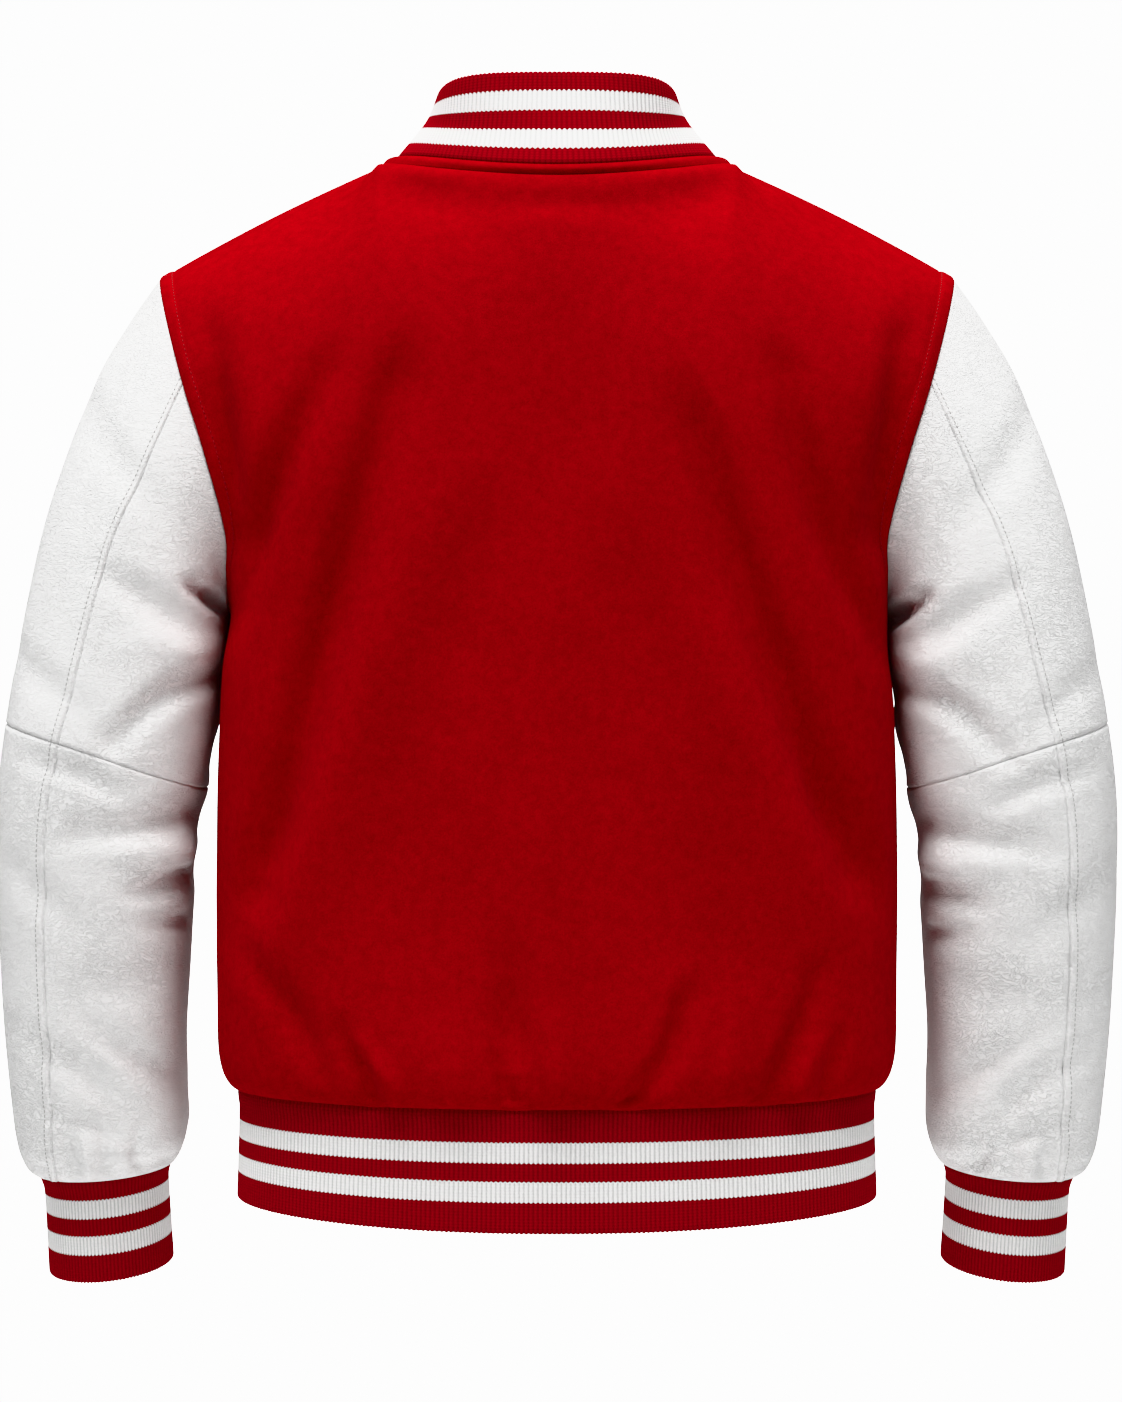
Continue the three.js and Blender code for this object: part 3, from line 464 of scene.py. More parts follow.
def crease_depth(creases, x, z):
    """How deep the creases of a table are at points seen from behind or in front."""
    depth = np.zeros_like(x)
    for x1, z1, x2, z2, bow, left, right, deep in zip(*(creases[k] for k in CREASE.split())):
        run_x, run_z = x2 - x1, z2 - z1
        length = math.hypot(run_x, run_z)
        along = ((x - x1) * run_x + (z - z1) * run_z) / length**2
        t = np.clip(along, 0, 1)
        away = ((z - z1) * run_x - (x - x1) * run_z) / length - 4 * bow * t * (1 - t)
        width = np.where(away > 0, left, right)
        past = (along - t) * length / (left + right)
        near = (away / width) ** 2 + past**2
        swell = lerp(CREASE_END, 1, np.sin(math.pi * t))
        depth += deep * swell * (1 - LIP * near) * np.exp(-near / CREASE_SPREAD)
    return depth


def creased(grid, creases):
    """Moves a trunk panel's points in by its creases, which fade out towards its seams."""
    normals = grid_normals(grid)
    ends = np.minimum(np.linalg.norm(grid - grid[:, :1], axis=-1),
                      np.linalg.norm(grid - grid[:, -1:], axis=-1))
    seam = np.minimum(ends, np.linalg.norm(grid - grid[-1:], axis=-1))
    hem = np.linalg.norm(grid - grid[:1], axis=-1)
    fade = smoothstep(seam, 0, CREASE_SEAM_FADE) * smoothstep(hem, 0, GATHER_FADE)
    depth = fade * crease_depth(creases, grid[..., 0], grid[..., 2])
    return grid - normals * depth[..., None]


def back_grid():
    shares = section_shares(SECTION_SAMPLES)
    across = np.concatenate([shares[::-1], -shares[1:]])
    places = even_places(TRUNK_COLUMNS, TOPSTITCH_LINES, TOPSTITCH_LINES)
    grid = trunk_grid("back", lambda half: across, places)
    return creased(grid, BACK_CREASES)


def front_grid(sign):
    shares = section_shares(SECTION_SAMPLES)

    def across(half):
        lap = LAP_HALF_WIDTH / half[0] * np.linspace(0, 1, 20)[1:]
        return sign * np.concatenate([shares[::-1], -lap])
    places = even_places(FRONT_COLUMNS, TOPSTITCH_LINES, EDGE_LINES)
    grid = trunk_grid("front", across, places)
    if sign > 0:
        grid = grid[:, ::-1]
    return creased(grid, FRONT_CREASES)


def new_object(name, vertices, faces, smooth=True):
    """A mesh object from points in millimetres."""
    mesh = bpy.data.meshes.new(name)
    mesh.from_pydata((np.asarray(vertices) * MM).tolist(), [], faces)
    mesh.validate()
    mesh.polygons.foreach_set("use_smooth", [smooth] * len(mesh.polygons))
    obj = bpy.data.objects.new(name, mesh)
    bpy.context.scene.collection.objects.link(obj)
    return obj


def pushed_out(grid):
    """Moves a grid's four edges out past the seam line by the overlap."""
    moved = grid.copy()
    for edge, inside in ((0, 1), (-1, -2)):
        for axis in (0, 1):
            here = grid[edge] if axis == 0 else grid[:, edge]
            step = SEAM_OVERLAP * unit(here - (grid[inside] if axis == 0 else grid[:, inside]))
            if axis == 0:
                moved[edge] += step
            else:
                moved[:, edge] += step
    return moved


def edge_distance(grid):
    """How far each point is from its panel's nearest edge, along its row or its column."""
    along = np.linalg.norm(np.diff(grid, axis=1), axis=-1)
    across = np.linalg.norm(np.diff(grid, axis=0), axis=-1)
    zero_column, zero_row = np.zeros((len(grid), 1)), np.zeros((1, grid.shape[1]))
    left = np.concatenate([zero_column, np.cumsum(along, 1)], 1)
    low = np.concatenate([zero_row, np.cumsum(across, 0)], 0)
    return np.minimum(np.minimum(left, left[:, -1:] - left), np.minimum(low, low[-1:] - low))


def with_edge_rows(grid):
    """Adds rows close to a grid's first and last rows."""
    rows = [grid[0]]
    for distance in EDGE_LINES[:2]:
        rows.append(towards(grid[0], grid[1], distance))
    rows.extend(grid[1:-1])
    for distance in EDGE_LINES[1::-1]:
        rows.append(towards(grid[-1], grid[-2], distance))
    rows.append(grid[-1])
    return np.array(rows)


def towards(line, other, distance):
    """A line of points moved towards another by a distance, or at most two thirds of the way."""
    step = other - line
    length = np.maximum(np.linalg.norm(step, axis=-1, keepdims=True), 1e-9)
    most = distance / EDGE_LINES[1] * 0.66
    return line + step * np.minimum(distance / length, most)


def shell(name, grid, thickness, wrap=False, roll=SEAM_ROLL, radius=SEAM_RADIUS):
    """A closed shell from a grid of outer points and a coarser inner wall beneath it.

    Its edges roll in towards the seams, where it reaches just past the seam line."""
    grid = with_edge_rows(grid)
    normals = grid_normals(grid, wrap)
    turned = roll * np.maximum(1 - edge_distance(grid) / radius, 0) ** 2
    outer = pushed_out(grid - normals * turned[..., None])
    inner = pushed_out(grid) - thickness * normals
    inner = inner[::INNER_STEP, ::INNER_STEP]
    rows, columns = outer.shape[:2]
    in_rows, in_columns = inner.shape[:2]
    vertices = np.concatenate([outer.reshape(-1, 3), inner.reshape(-1, 3)])
    start = rows * columns
    last = columns if wrap else columns - 1
    in_last = in_columns if wrap else in_columns - 1

    def out_at(i, j):
        return i * columns + j % columns

    def in_at(i, j):
        return start + i * in_columns + j % in_columns

    faces = [(out_at(i, j), out_at(i, j + 1), out_at(i + 1, j + 1), out_at(i + 1, j))
             for i in range(rows - 1) for j in range(last)]
    faces += [(in_at(i, j), in_at(i + 1, j), in_at(i + 1, j + 1), in_at(i, j + 1))
              for i in range(in_rows - 1) for j in range(in_last)]
    top = rows - 1
    for j in range(in_last):
        fine = range(j * INNER_STEP, (j + 1) * INNER_STEP + 1)
        faces.append((in_at(0, j), in_at(0, j + 1), *(out_at(0, k) for k in reversed(fine))))
        faces.append((in_at(in_rows - 1, j + 1), in_at(in_rows - 1, j),
                      *(out_at(top, k) for k in fine)))
    if not wrap:
        for i in range(in_rows - 1):
            fine = range(i * INNER_STEP, (i + 1) * INNER_STEP + 1)
            faces.append((in_at(i + 1, 0), in_at(i, 0), *(out_at(k, 0) for k in fine)))
            faces.append((in_at(i, in_last), in_at(i + 1, in_last),
                          *(out_at(k, last) for k in reversed(fine))))
    return new_object(name, vertices, faces)


def end_distance(grid, column_end):
    """How far each point is along its row from the row's first or last point."""
    steps = np.linalg.norm(np.diff(grid, axis=1), axis=-1)
    along = np.concatenate([np.zeros((len(grid), 1)), np.cumsum(steps, 1)], 1)
    return along if column_end == 0 else along[:, -1:] - along


def side_distance(grid):
    return np.minimum(end_distance(grid, 0), end_distance(grid, -1))


def inset_line(grid, column_end, distance):
    """A line at a distance from a grid's side edge, as points and normals."""
    normals = grid_normals(grid)
    away = end_distance(grid, column_end)
    if column_end != 0:
        grid, normals, away = grid[:, ::-1], normals[:, ::-1], away[:, ::-1]

    def at(values):
        return np.array([[np.interp(distance, away[i], values[i, :, k]) for k in range(3)]
                         for i in range(len(grid))])
    return at(grid), at(normals)


def make_stitches(name, lines):
    """Rows of thread stitches as one mesh, each stitch a small spindle lying on the cloth."""
    vertices, faces = [], []
    angles = 2 * math.pi * np.arange(STITCH_SIDES) / STITCH_SIDES
    for points, normals in lines:
        arc = arc_lengths(points)
        count = int(arc[-1] / STITCH_PITCH)
        middle = (np.arange(count) + 0.5) * arc[-1] / count
        centre, up = at_places(points, arc, middle), at_places(normals, arc, middle)
        ahead = unit(at_places(points, arc, middle + 1) - at_places(points, arc, middle - 1))
        side = np.cross(ahead, up)
        for k in range(count):
            start = len(vertices)
            for along, radius, sunk in STITCH_PROFILE:
                foot = centre[k] + ahead[k] * along - up[k] * sunk
                vertices.extend(foot + radius * (np.cos(a) * up[k] + np.sin(a) * side[k])
                                for a in angles)
            last = len(STITCH_PROFILE) - 1
            for i in range(last):
                for j in range(STITCH_SIDES):
                    a, b = start + i * STITCH_SIDES, start + (i + 1) * STITCH_SIDES
                    after = (j + 1) % STITCH_SIDES
                    faces.append((a + j, a + after, b + after, b + j))
            faces.append(tuple(start + j for j in reversed(range(STITCH_SIDES))))
            faces.append(tuple(start + last * STITCH_SIDES + j for j in range(STITCH_SIDES)))
    obj = new_object(name, vertices, faces)
    point_outward(obj)
    return obj


# Sleeves

def sleeve_point(columns, ring, angle, bow):
    """Points of the left sleeve, whose angle goes from the shoulder's top round the back."""
    def value(name):
        return read(columns, "ring", name, ring)
    share = (1 + np.cos(angle)) / 2
    straight = lerp(columns["in_x"][0], columns["out_x"][0], share)
    bowed = read(ARMHOLE, "share", "half_width", share) - straight
    fade = np.maximum(1 - ring / BOW_RINGS, 0) ** 2 if bow else 0
    lift = np.sin(angle)
    x = lerp(value("in_x"), value("out_x"), share) + bowed * fade
    y = value("mid_y") + value("depth") * lift
    z = lerp(value("in_z"), value("out_z"), share) - value("drop") * lift
    return np.stack([x, y, z], -1)


def sleeve_grid(sign):
    """A sleeve as closed rings with its creases. The upper panel's columns come first."""
    rings = np.linspace(0, SLEEVE["ring"][-1], int(SLEEVE["ring"][-1]) * SLEEVE_ROWS_PER_RING + 1)
    seam = read(SLEEVE, "ring", "seam", rings)[:, None]
    upper = np.linspace(0, 1, SLEEVE_UPPER_COLUMNS, endpoint=False)[None, :]
    under = np.linspace(0, 1, SLEEVE_UNDER_COLUMNS, endpoint=False)[None, :]
    degrees = np.concatenate([lerp(FRONT_SEAM_ANGLE - 360, seam, upper),
                              lerp(seam, FRONT_SEAM_ANGLE, under)], 1)
    angle = np.radians(degrees)
    grid = sleeve_point(SLEEVE, np.broadcast_to(rings[:, None], angle.shape), angle, True)
    inward = grid_normals(grid, True)
    full = between(rings, *FULLNESS_RINGS)
    fullness = lerp(SLEEVE_FULLNESS["outer"], SLEEVE_FULLNESS["inner"], (1 - np.cos(angle)) / 2)
    grid = grid - inward * (fullness * full[:, None] * np.sin(2 * angle) ** 2)[..., None]
    lift = np.sin(angle)
    fade = between(rings, *CREASE_RINGS)
    mirrored = 1 if sign < 0 else 0
    x = grid[..., 0] - mirrored * RIGHT_SHIFT["x"]
    z = grid[..., 2] - mirrored * RIGHT_SHIFT["z"]
    depth = np.where(lift > 0, crease_depth(SLEEVE_BACK_CREASES, x, z),
                     crease_depth(SLEEVE_FRONT_CREASES, x, z))
    depth = depth * fade[:, None] * smoothstep(np.abs(lift), 0, HALF_FADE)
    return grid + inward * depth[..., None]


# Trim round the neck

def neck_point(outline, angle):
    """Points of an outline round the neck, by the angle from the centre back."""
    power = 2 / outline["square"]
    reach = np.abs(np.cos(angle)) ** power
    back = np.cos(angle) > 0
    depth = np.where(back, outline["back"], -outline["front"])
    centre_z = np.where(back, outline["back_z"], outline["front_z"])
    rise = np.where(back, outline["rise"], 0)
    height = reach**2 * (1 + 2 * rise * (1 - reach))
    across = np.sign(np.sin(angle)) * np.abs(np.sin(angle)) ** power
    return np.stack([outline["half_width"] * across, depth * reach,
                     lerp(outline["side_z"], centre_z, height)], -1)


def neck_outline(row):
    """The values of the neck table at a row between its rows."""
    rows = dict(NECK_OUTLINES, row=np.arange(len(NECK_OUTLINES["back"]), dtype=float))
    return {name: read(rows, "row", name, np.array([row]))[0] for name in NECK_OUTLINES}


def arc_rows(point_at, length_angle, start, end, count, margin=0.0):
    """Rows that lie evenly along a wall's profile, with their distances from the sewn edge."""
    fine = np.linspace(start, end, 400)
    profile = np.array([point_at(row, np.array([length_angle]))[0] for row in fine])
    arc = arc_lengths(profile)
    along = np.linspace(0, arc[-1] - margin, count)
    return np.interp(along, arc, fine), along


def evenly(points, count, closed):
    """A line of points spaced evenly along another. A closed one leaves out its last point."""
    if closed:
        points = np.concatenate([points, points[:1]])
    arc = arc_lengths(points)
    along = np.linspace(0, arc[-1], count + 1)
    return at_places(points, arc, along[:-1] if closed else along)


def knit_wall(name, wall_rows, along, ribs, closed, inner_rows=7, edge_steps=5):
    """A rib-knit wall, from its fine rows of surface points, the sewn edge first.

    It goes down the ribbed outside, round the soft free edge and back up the plainer inside.
    Its UV map counts ribs across and millimetres from the sewn edge."""
    columns = ribs * RIB_SAMPLES
    surface = np.array([evenly(points, columns, closed) for points in wall_rows])
    if closed:
        around = np.roll(surface, -1, 1) - np.roll(surface, 1, 1)
    else:
        around = np.gradient(surface, axis=1)
    down = np.gradient(surface, along, axis=0)
    normal = unit(np.cross(down, around))
    if np.mean(np.sum(normal * (surface - surface.mean((0, 1))), -1)) < 0:
        normal = -normal
    down = unit(down)
    count = surface.shape[1]
    rib = (0.5 - 0.5 * np.cos(2 * math.pi * np.arange(count) / RIB_SAMPLES)) ** 0.8
    taper = smoothstep(along, -TUCK, 1)
    outer = surface + normal * (RIB_HEIGHT * taper[:, None] * rib)[..., None]
    lift_in = RIB_BASE + 0.25 * RIB_HEIGHT * rib
    inner = surface - normal * lift_in[None, :, None]
    high = RIB_HEIGHT * rib
    middle, radius = (high - lift_in) / 2, (high + lift_in) / 2
    edge = []
    for k in range(1, edge_steps):
        angle = math.pi * k / edge_steps
        edge.append(surface[-1] + normal[-1] * (middle + radius * math.cos(angle))[:, None]
                    + down[-1] * (radius * math.sin(angle))[:, None])
    picks = np.unique(np.linspace(len(along) - 1, 0, inner_rows).astype(int))[::-1]
    rows = np.concatenate([outer, np.array(edge), inner[picks]])
    v = np.concatenate([along, np.full(edge_steps - 1, along[-1] + 1), along[picks]])
    total = len(rows)
    last = count if closed else count - 1
    i, j = np.meshgrid(np.arange(total), np.arange(last), indexing="ij")
    below, right = (i + 1) % total, (j + 1) % count
    corners = [(i, j, j), (below, j, j), (below, right, j + 1), (i, right, j + 1)]
    faces = np.stack([a * count + b for a, b, _ in corners], -1).reshape(-1, 4)
    u = np.stack([c / RIB_SAMPLES for _, _, c in corners], -1).reshape(-1)
    heights = np.stack([v[a] for a, _, _ in corners], -1).reshape(-1)
    uv = np.stack([u, heights], -1)
    face_list = faces.tolist()
    if not closed:
        face_list.append([k * count for k in range(total)][::-1])
        face_list.append([k * count + last for k in range(total)])
        ends = [[0, v[k]] for k in range(total)][::-1] + [[ribs, v[k]] for k in range(total)]
        uv = np.concatenate([uv, np.array(ends)])
    obj = new_object(name, rows.reshape(-1, 3), face_list)
    layer = obj.data.uv_layers.new(name="knit")
    layer.data.foreach_set("uv", uv.astype(np.float32).reshape(-1))
    point_outward(obj)
    return obj


def point_outward(obj):
    """Turns a closed mesh's faces outward."""
    mesh = bmesh.new()
    mesh.from_mesh(obj.data)
    if mesh.calc_volume(signed=True) < 0:
        bmesh.ops.reverse_faces(mesh, faces=mesh.faces)
        mesh.to_mesh(obj.data)
    mesh.free()


def tucked(row, tuck):
    """A row of points round the neck moved in and down, to lie inside what it is sewn to."""
    return row + unit(row * [-1, -1, 0]) * tuck["in"] - [0, 0, tuck["down"]]


def make_collar():
    outline_rows, along = arc_rows(lambda row, a: neck_point(neck_outline(row), a), 0.0, 3, 5, 26,
                                   margin=FREE_EDGE)
    walls = []
    for row in outline_rows:
        outline = neck_outline(row)
        end = math.pi - COLLAR_END_GAP / outline["half_width"]
        walls.append(neck_point(outline, np.linspace(-end, end, WALL_SAMPLES)))
    walls.insert(0, tucked(walls[0], COLLAR_TUCK))
    along = np.concatenate([[-TUCK], along])
    return knit_wall("collar_knit", walls, along, COLLAR_RIBS, False)


def hem_points(down, angle):
    """Points of the hem band at a distance below the hem seam, by the angle from the back."""
    section = {name: read(HEM, "centre", name, np.array([down]))[0] for name in HEM}
    share = np.sin(angle)
    back = np.cos(angle) > 0
    centre = 1 - share**2
    x = section["half_width"] * share
    under = np.where(angle < -math.pi / 2, 1 - smoothstep(-x, *LAP_BLEND), 0)
    dip = under * (RIB_BASE + RIB_HEIGHT + LAP_CLEARANCE)
    outline = (1 - np.abs(share) ** HEM_SQUARE) ** (1 / HEM_SQUARE)
    depth = np.where(back, section["back"], section["front"]) * outline - dip
    sag = np.where(back, HEM_SAG["back"], HEM_SAG["front"]) * centre
    z = TRUNK["height"][0] - sag - lerp(section["side"], section["centre"], centre)
    return np.stack([x, np.where(back, depth, -depth), z], -1)


def make_hem_band():
    along = np.linspace(-TUCK, HEM["centre"][-1] - FREE_EDGE, 23)
    walls = []
    for down in along:
        half = read(HEM, "centre", "half_width", np.array([down]))[0]
        over = LAP_HALF_WIDTH / half
        walls.append(hem_points(down, np.linspace(math.pi + over, -math.pi - over, HEM_SAMPLES)))
    return knit_wall("hem_band_knit", walls, along, HEM_RIBS, False)


def make_cuff(side, sign):
    def point_at(ring, angle):
        point = sleeve_point(CUFF, np.full(angle.shape, ring), angle, False)
        return point * [sign, 1, 1]
    rings, along = arc_rows(point_at, math.pi / 2, CUFF["ring"][0], 2, 24, margin=FREE_EDGE)
    angle = np.linspace(0, 2 * math.pi, WALL_SAMPLES, endpoint=False)
    walls = [point_at(ring, angle) for ring in rings]
    return knit_wall(f"cuff_{side}_knit", walls, along - TUCK, CUFF_RIBS, True)


def make_neck_band():
    rows = np.linspace(0, 2, 13)
    end = math.pi - COLLAR_END_GAP / NECK_HALF_WIDTH
    angle = np.linspace(end, -end, 321)
    grid = np.array([neck_point(neck_outline(row), angle) for row in rows])
    normals = grid_normals(grid)
    plump = BAND_PLUMP * np.sin(math.pi * rows / 2)
    grid = grid + normals * plump[:, None, None]
    tuck = tucked(grid[0], BAND_TUCK)
    middle = lerp(tuck, grid[0], np.array([0.25, 0.5, 0.75])[:, None, None])
    grid = np.concatenate([tuck[None], middle, grid])
    return shell("neck_band_cloth", grid, BAND_THICKNESS)


# Panels of wool and leather

def armhole_edge(grid, column_end):
    """Raises the turned edge along an armhole, and sinks the valley beside its topstitch."""
    distance = end_distance(grid, column_end)
    above = smoothstep(grid[..., 2], UNDERARM_HEIGHT, UNDERARM_HEIGHT + 30)
    away = distance - WOOL_TOPSTITCH
    raised = TURNED_EDGE * (1 - smoothstep(away, -0.6, 1.2))
    sunk = STITCH_VALLEY * np.exp(-((away / 1.1) ** 2))
    return grid + grid_normals(grid) * (above * (raised - sunk))[..., None]


def make_back():
    """The back panel and the topstitch along its two armholes."""
    grid = back_grid()
    for column_end in (0, -1):
        grid = armhole_edge(grid, column_end)
    first = TRUNK_LOWER_ROWS + STITCH_START_ROW
    stitches = [inset_line(grid[first:], column_end, WOOL_TOPSTITCH) for column_end in (0, -1)]
    return shell("back_cloth", grid, WOOL_THICKNESS), make_stitches("back_topstitch", stitches)


def make_front(side, sign, beneath):
    """A front panel and its topstitch, along the armhole and, on the top front, the lap."""
    grid = front_grid(sign)
    if beneath:
        share = 1 - smoothstep(sign * grid[..., 0], *LAP_BLEND)
        dip = (WOOL_THICKNESS + LAP_CLEARANCE) * share
        grid = grid - grid_normals(grid) * dip[..., None]
        grid[-1, :, 2] -= LAP_CLEARANCE * share[-1]
    column_end = 0 if sign < 0 else -1
    grid = armhole_edge(grid, column_end)
    first = TRUNK_LOWER_ROWS + STITCH_START_ROW
    stitches = [inset_line(grid[first:], column_end, WOOL_TOPSTITCH)]
    if not beneath:
        stitches.append(inset_line(grid, -1 - column_end, LAP_TOPSTITCH))
    return (shell(f"front_{side}_cloth", grid, WOOL_THICKNESS),
            make_stitches(f"front_{side}_topstitch", stitches))


def sleeve_panels(sign):
    """The four panels of a sleeve as grids, by name, from one closed grid."""
    grid = sleeve_grid(sign)
    closed = np.concatenate([grid, grid[:, :1]], 1)
    elbow = ELBOW_RING * SLEEVE_ROWS_PER_RING
    seam = SLEEVE_UPPER_COLUMNS
    upper, under = even_places(SLEEVE_UPPER_COLUMNS), even_places(SLEEVE_UNDER_COLUMNS)
    panels = {
        "upper": (closed[:elbow + 1, :seam + 1], upper),
        "upper_lower": (closed[elbow:, :seam + 1], upper),
        "under": (closed[:elbow + 1, seam:], under),
        "under_lower": (closed[elbow:, seam:], under),
    }
    return {part: np.array([respaced(row, places) for row in grid])
            for part, (grid, places) in panels.items()}


def make_sleeve(side, sign):
    """The leather panels of a sleeve and the rows of topstitch on its upper ones."""
    made = {}
    stitches = []
    for part, grid in sleeve_panels(sign).items():
        grid = (grid * [sign, 1, 1])[::-1]
        if sign < 0:
            grid = grid[:, ::-1]
        if part.startswith("upper"):
            edge = FELL_HEIGHT * (1 - smoothstep(side_distance(grid), FELL_WIDTH, FELL_WIDTH + 2))
            grid = grid + grid_normals(grid) * edge[..., None]
            for column_end in (0, -1):
                stitches.append(inset_line(grid, column_end, LEATHER_TOPSTITCH))
        made[part] = shell(f"sleeve_{side}_{part}_leather", grid, LEATHER_THICKNESS,
                           roll=LEATHER_ROLL, radius=LEATHER_RADIUS)
    return made, make_stitches(f"sleeve_{side}_topstitch", stitches)


# Snaps

def front_centre(height):
    """The point and outward normal of the front's centre line at a height."""
    climb = NECK_HEIGHT["front"] - UNDERARM_HEIGHT

    def point(z):
        if z > UNDERARM_HEIGHT:
            return trunk_above("front", np.zeros(1), np.array([(z - UNDERARM_HEIGHT) / climb]))[0]
        return trunk_below("front", np.zeros(1), np.array([z]))[0]
    run = point(height + SLOPE_REACH) - point(height - SLOPE_REACH)
    return point(height), np.array([0, -run[2], run[1]]) / np.hypot(run[1], run[2])


def lathe(profile, sides, foot, outward):
    """A turned body, whose profile of radius and height goes from its foot to its top."""
    outward = Vector(outward).normalized()
    turn = Vector((0, 0, 1)).rotation_difference(outward).to_matrix()
    vertices = []
    for radius, height in profile:
        for k in range(sides):
            angle = 2 * math.pi * k / sides
            spot = Vector((radius * math.cos(angle), radius * math.sin(angle), height))
            vertices.append(Vector(foot) + turn @ spot)
    faces = [(i * sides + k, i * sides + (k + 1) % sides,
              (i + 1) * sides + (k + 1) % sides, (i + 1) * sides + k)
             for i in range(len(profile) - 1) for k in range(sides)]
    faces.append(tuple(range(sides))[::-1])
    faces.append(tuple(range((len(profile) - 1) * sides, len(profile) * sides)))
    return vertices, faces


SNAP_PROFILE = [
    (7.0, 0.0), (7.4, 0.15), (7.5, 0.5), (7.45, 0.9), (7.2, 1.15), (6.85, 1.2),
    (6.6, 1.1), (6.45, 1.25), (6.2, 1.75), (5.4, 2.3), (4.2, 2.7), (2.8, 2.9), (1.2, 3.0),
]
SNAP_HEIGHTS = (-112, -194, -276, -358, -440, -522)
SNAP_SIDES = 48
# Half the stretch of the front over which its slope at a snap is taken.
SLOPE_REACH = 7.5


def make_snap(number):
    if number <= len(SNAP_HEIGHTS):
        foot, outward = front_centre(SNAP_HEIGHTS[number - 1])
        foot = foot + outward * 2 * SEAM_GAP
    else:
        low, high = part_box(f"snap_{number}")
        outward = np.array([0.0, -1.0, 0.03])
        centre = (low + high) / 2 / MM
        foot = np.array([centre.x, high.y / MM, centre.z])
    vertices, faces = lathe(SNAP_PROFILE, SNAP_SIDES, foot, outward)
    return new_object(f"snap_{number}_cap", [tuple(v) for v in vertices], faces)


# Materials

def new_material(name):
    material = bpy.data.materials.new(name)
    material.use_nodes = True
    nodes, links = material.node_tree.nodes, material.node_tree.links
    shader = nodes["Principled BSDF"]
    place = nodes.new("ShaderNodeTexCoord")
    return material, nodes, links, shader, place.outputs["Object"]


def dress(links, shader, colour, normal, values):
    """Gives a shader its colour, its bump and its uniform values."""
    links.new(colour, shader.inputs["Base Color"])
    links.new(normal, shader.inputs["Normal"])
    for name, value in values.items():
        shader.inputs[name].default_value = value


def stretched(nodes, links, place, stretch):
    """A place in millimetres, with each of its axes scaled."""
    mapping = nodes.new("ShaderNodeMapping")
    mapping.inputs["Scale"].default_value = [s / MM for s in stretch]
    links.new(place, mapping.inputs["Vector"])
    return mapping.outputs["Vector"]


def noise_texture(nodes, links, vector, scale, detail, roughness=0.5):
    """A noise node's outputs, with its scale in cycles to the millimetre."""
    texture = nodes.new("ShaderNodeTexNoise")
    for name, value in (("Scale", scale), ("Detail", detail), ("Roughness", roughness)):
        texture.inputs[name].default_value = value
    links.new(vector, texture.inputs["Vector"])
    return texture.outputs


def noise(nodes, links, place, scale, detail=3.0, roughness=0.6, stretch=(1, 1, 1)):
    vector = stretched(nodes, links, place, stretch)
    return noise_texture(nodes, links, vector, scale, detail, roughness)["Fac"]


def ramp(nodes, links, value, stops, interpolation="LINEAR"):
    """A colour ramp with stops of a position and a grey or a colour."""
    node = nodes.new("ShaderNodeValToRGB")
    node.color_ramp.interpolation = interpolation
    elements = node.color_ramp.elements
    while len(elements) > 1:
        elements.remove(elements[-1])
    for index, (position, colour) in enumerate(stops):
        element = elements[0] if index == 0 else elements.new(position)
        element.position = position
        grey = isinstance(colour, (int, float))
        element.color = (colour, colour, colour, 1) if grey else (*colour, 1)
    links.new(value, node.inputs["Fac"])
    return node.outputs["Color"]


def mix(nodes, links, kind, factor, first, second):
    node = nodes.new("ShaderNodeMix")
    node.data_type = "RGBA"
    node.blend_type = kind
    names = {"Factor_Float": factor, "A_Color": first, "B_Color": second}
    for socket in node.inputs:
        if socket.identifier in names:
            value = names[socket.identifier]
            if isinstance(value, bpy.types.NodeSocket):
                links.new(value, socket)
            elif isinstance(value, tuple):
                socket.default_value = (*value, 1)
            else:
                socket.default_value = value
    return next(s for s in node.outputs if s.identifier == "Result_Color")


def math_node(nodes, links, operation, *values):
    node = nodes.new("ShaderNodeMath")
    node.operation = operation
    for socket, value in zip(node.inputs, values):
        if isinstance(value, bpy.types.NodeSocket):
            links.new(value, socket)
        else:
            socket.default_value = value
    return node.outputs[0]


def bump(nodes, links, height, distance, strength=1.0, below=None):
    """A bump of a height given in millimetres."""
    node = nodes.new("ShaderNodeBump")
    node.inputs["Strength"].default_value = strength
    node.inputs["Distance"].default_value = distance * MM
    links.new(height, node.inputs["Height"])
    if below is not None:
        links.new(below, node.inputs["Normal"])
    return node.outputs["Normal"]


WOOL_RED = (0.3, 0.0015, 0.004)
WOOL_DARK = (0.235, 0.0012, 0.003)


def wool_material():
    material, nodes, links, shader, place = new_material("wool")
    fibre = noise(nodes, links, place, 0.9, 4.0, 0.75)
    felt = noise(nodes, links, place, 0.16, 5.0, 0.65)
    drift = noise(nodes, links, place, 0.012, 2.0, 0.5)
    colour = ramp(nodes, links, felt, [(0.3, WOOL_DARK), (0.7, WOOL_RED)])
    fleck = ramp(nodes, links, fibre, [(0.3, 0.82), (0.52, 1.0), (0.72, 1.12)])
    colour = mix(nodes, links, "MULTIPLY", 1.0, colour, fleck)
    shade = ramp(nodes, links, drift, [(0.35, 0.94), (0.65, 1.04)])
    colour = mix(nodes, links, "MULTIPLY", 1.0, colour, shade)
    normal = bump(nodes, links, felt, 0.35, 0.6)
    normal = bump(nodes, links, fibre, 0.16, 0.8, normal)
    dress(links, shader, colour, normal,
          {"Roughness": 0.95, "Specular IOR Level": 0.0, "Sheen Weight": 0.05,
           "Sheen Roughness": 0.45, "Sheen Tint": (1.0, 0.1, 0.1, 1)})
    return material


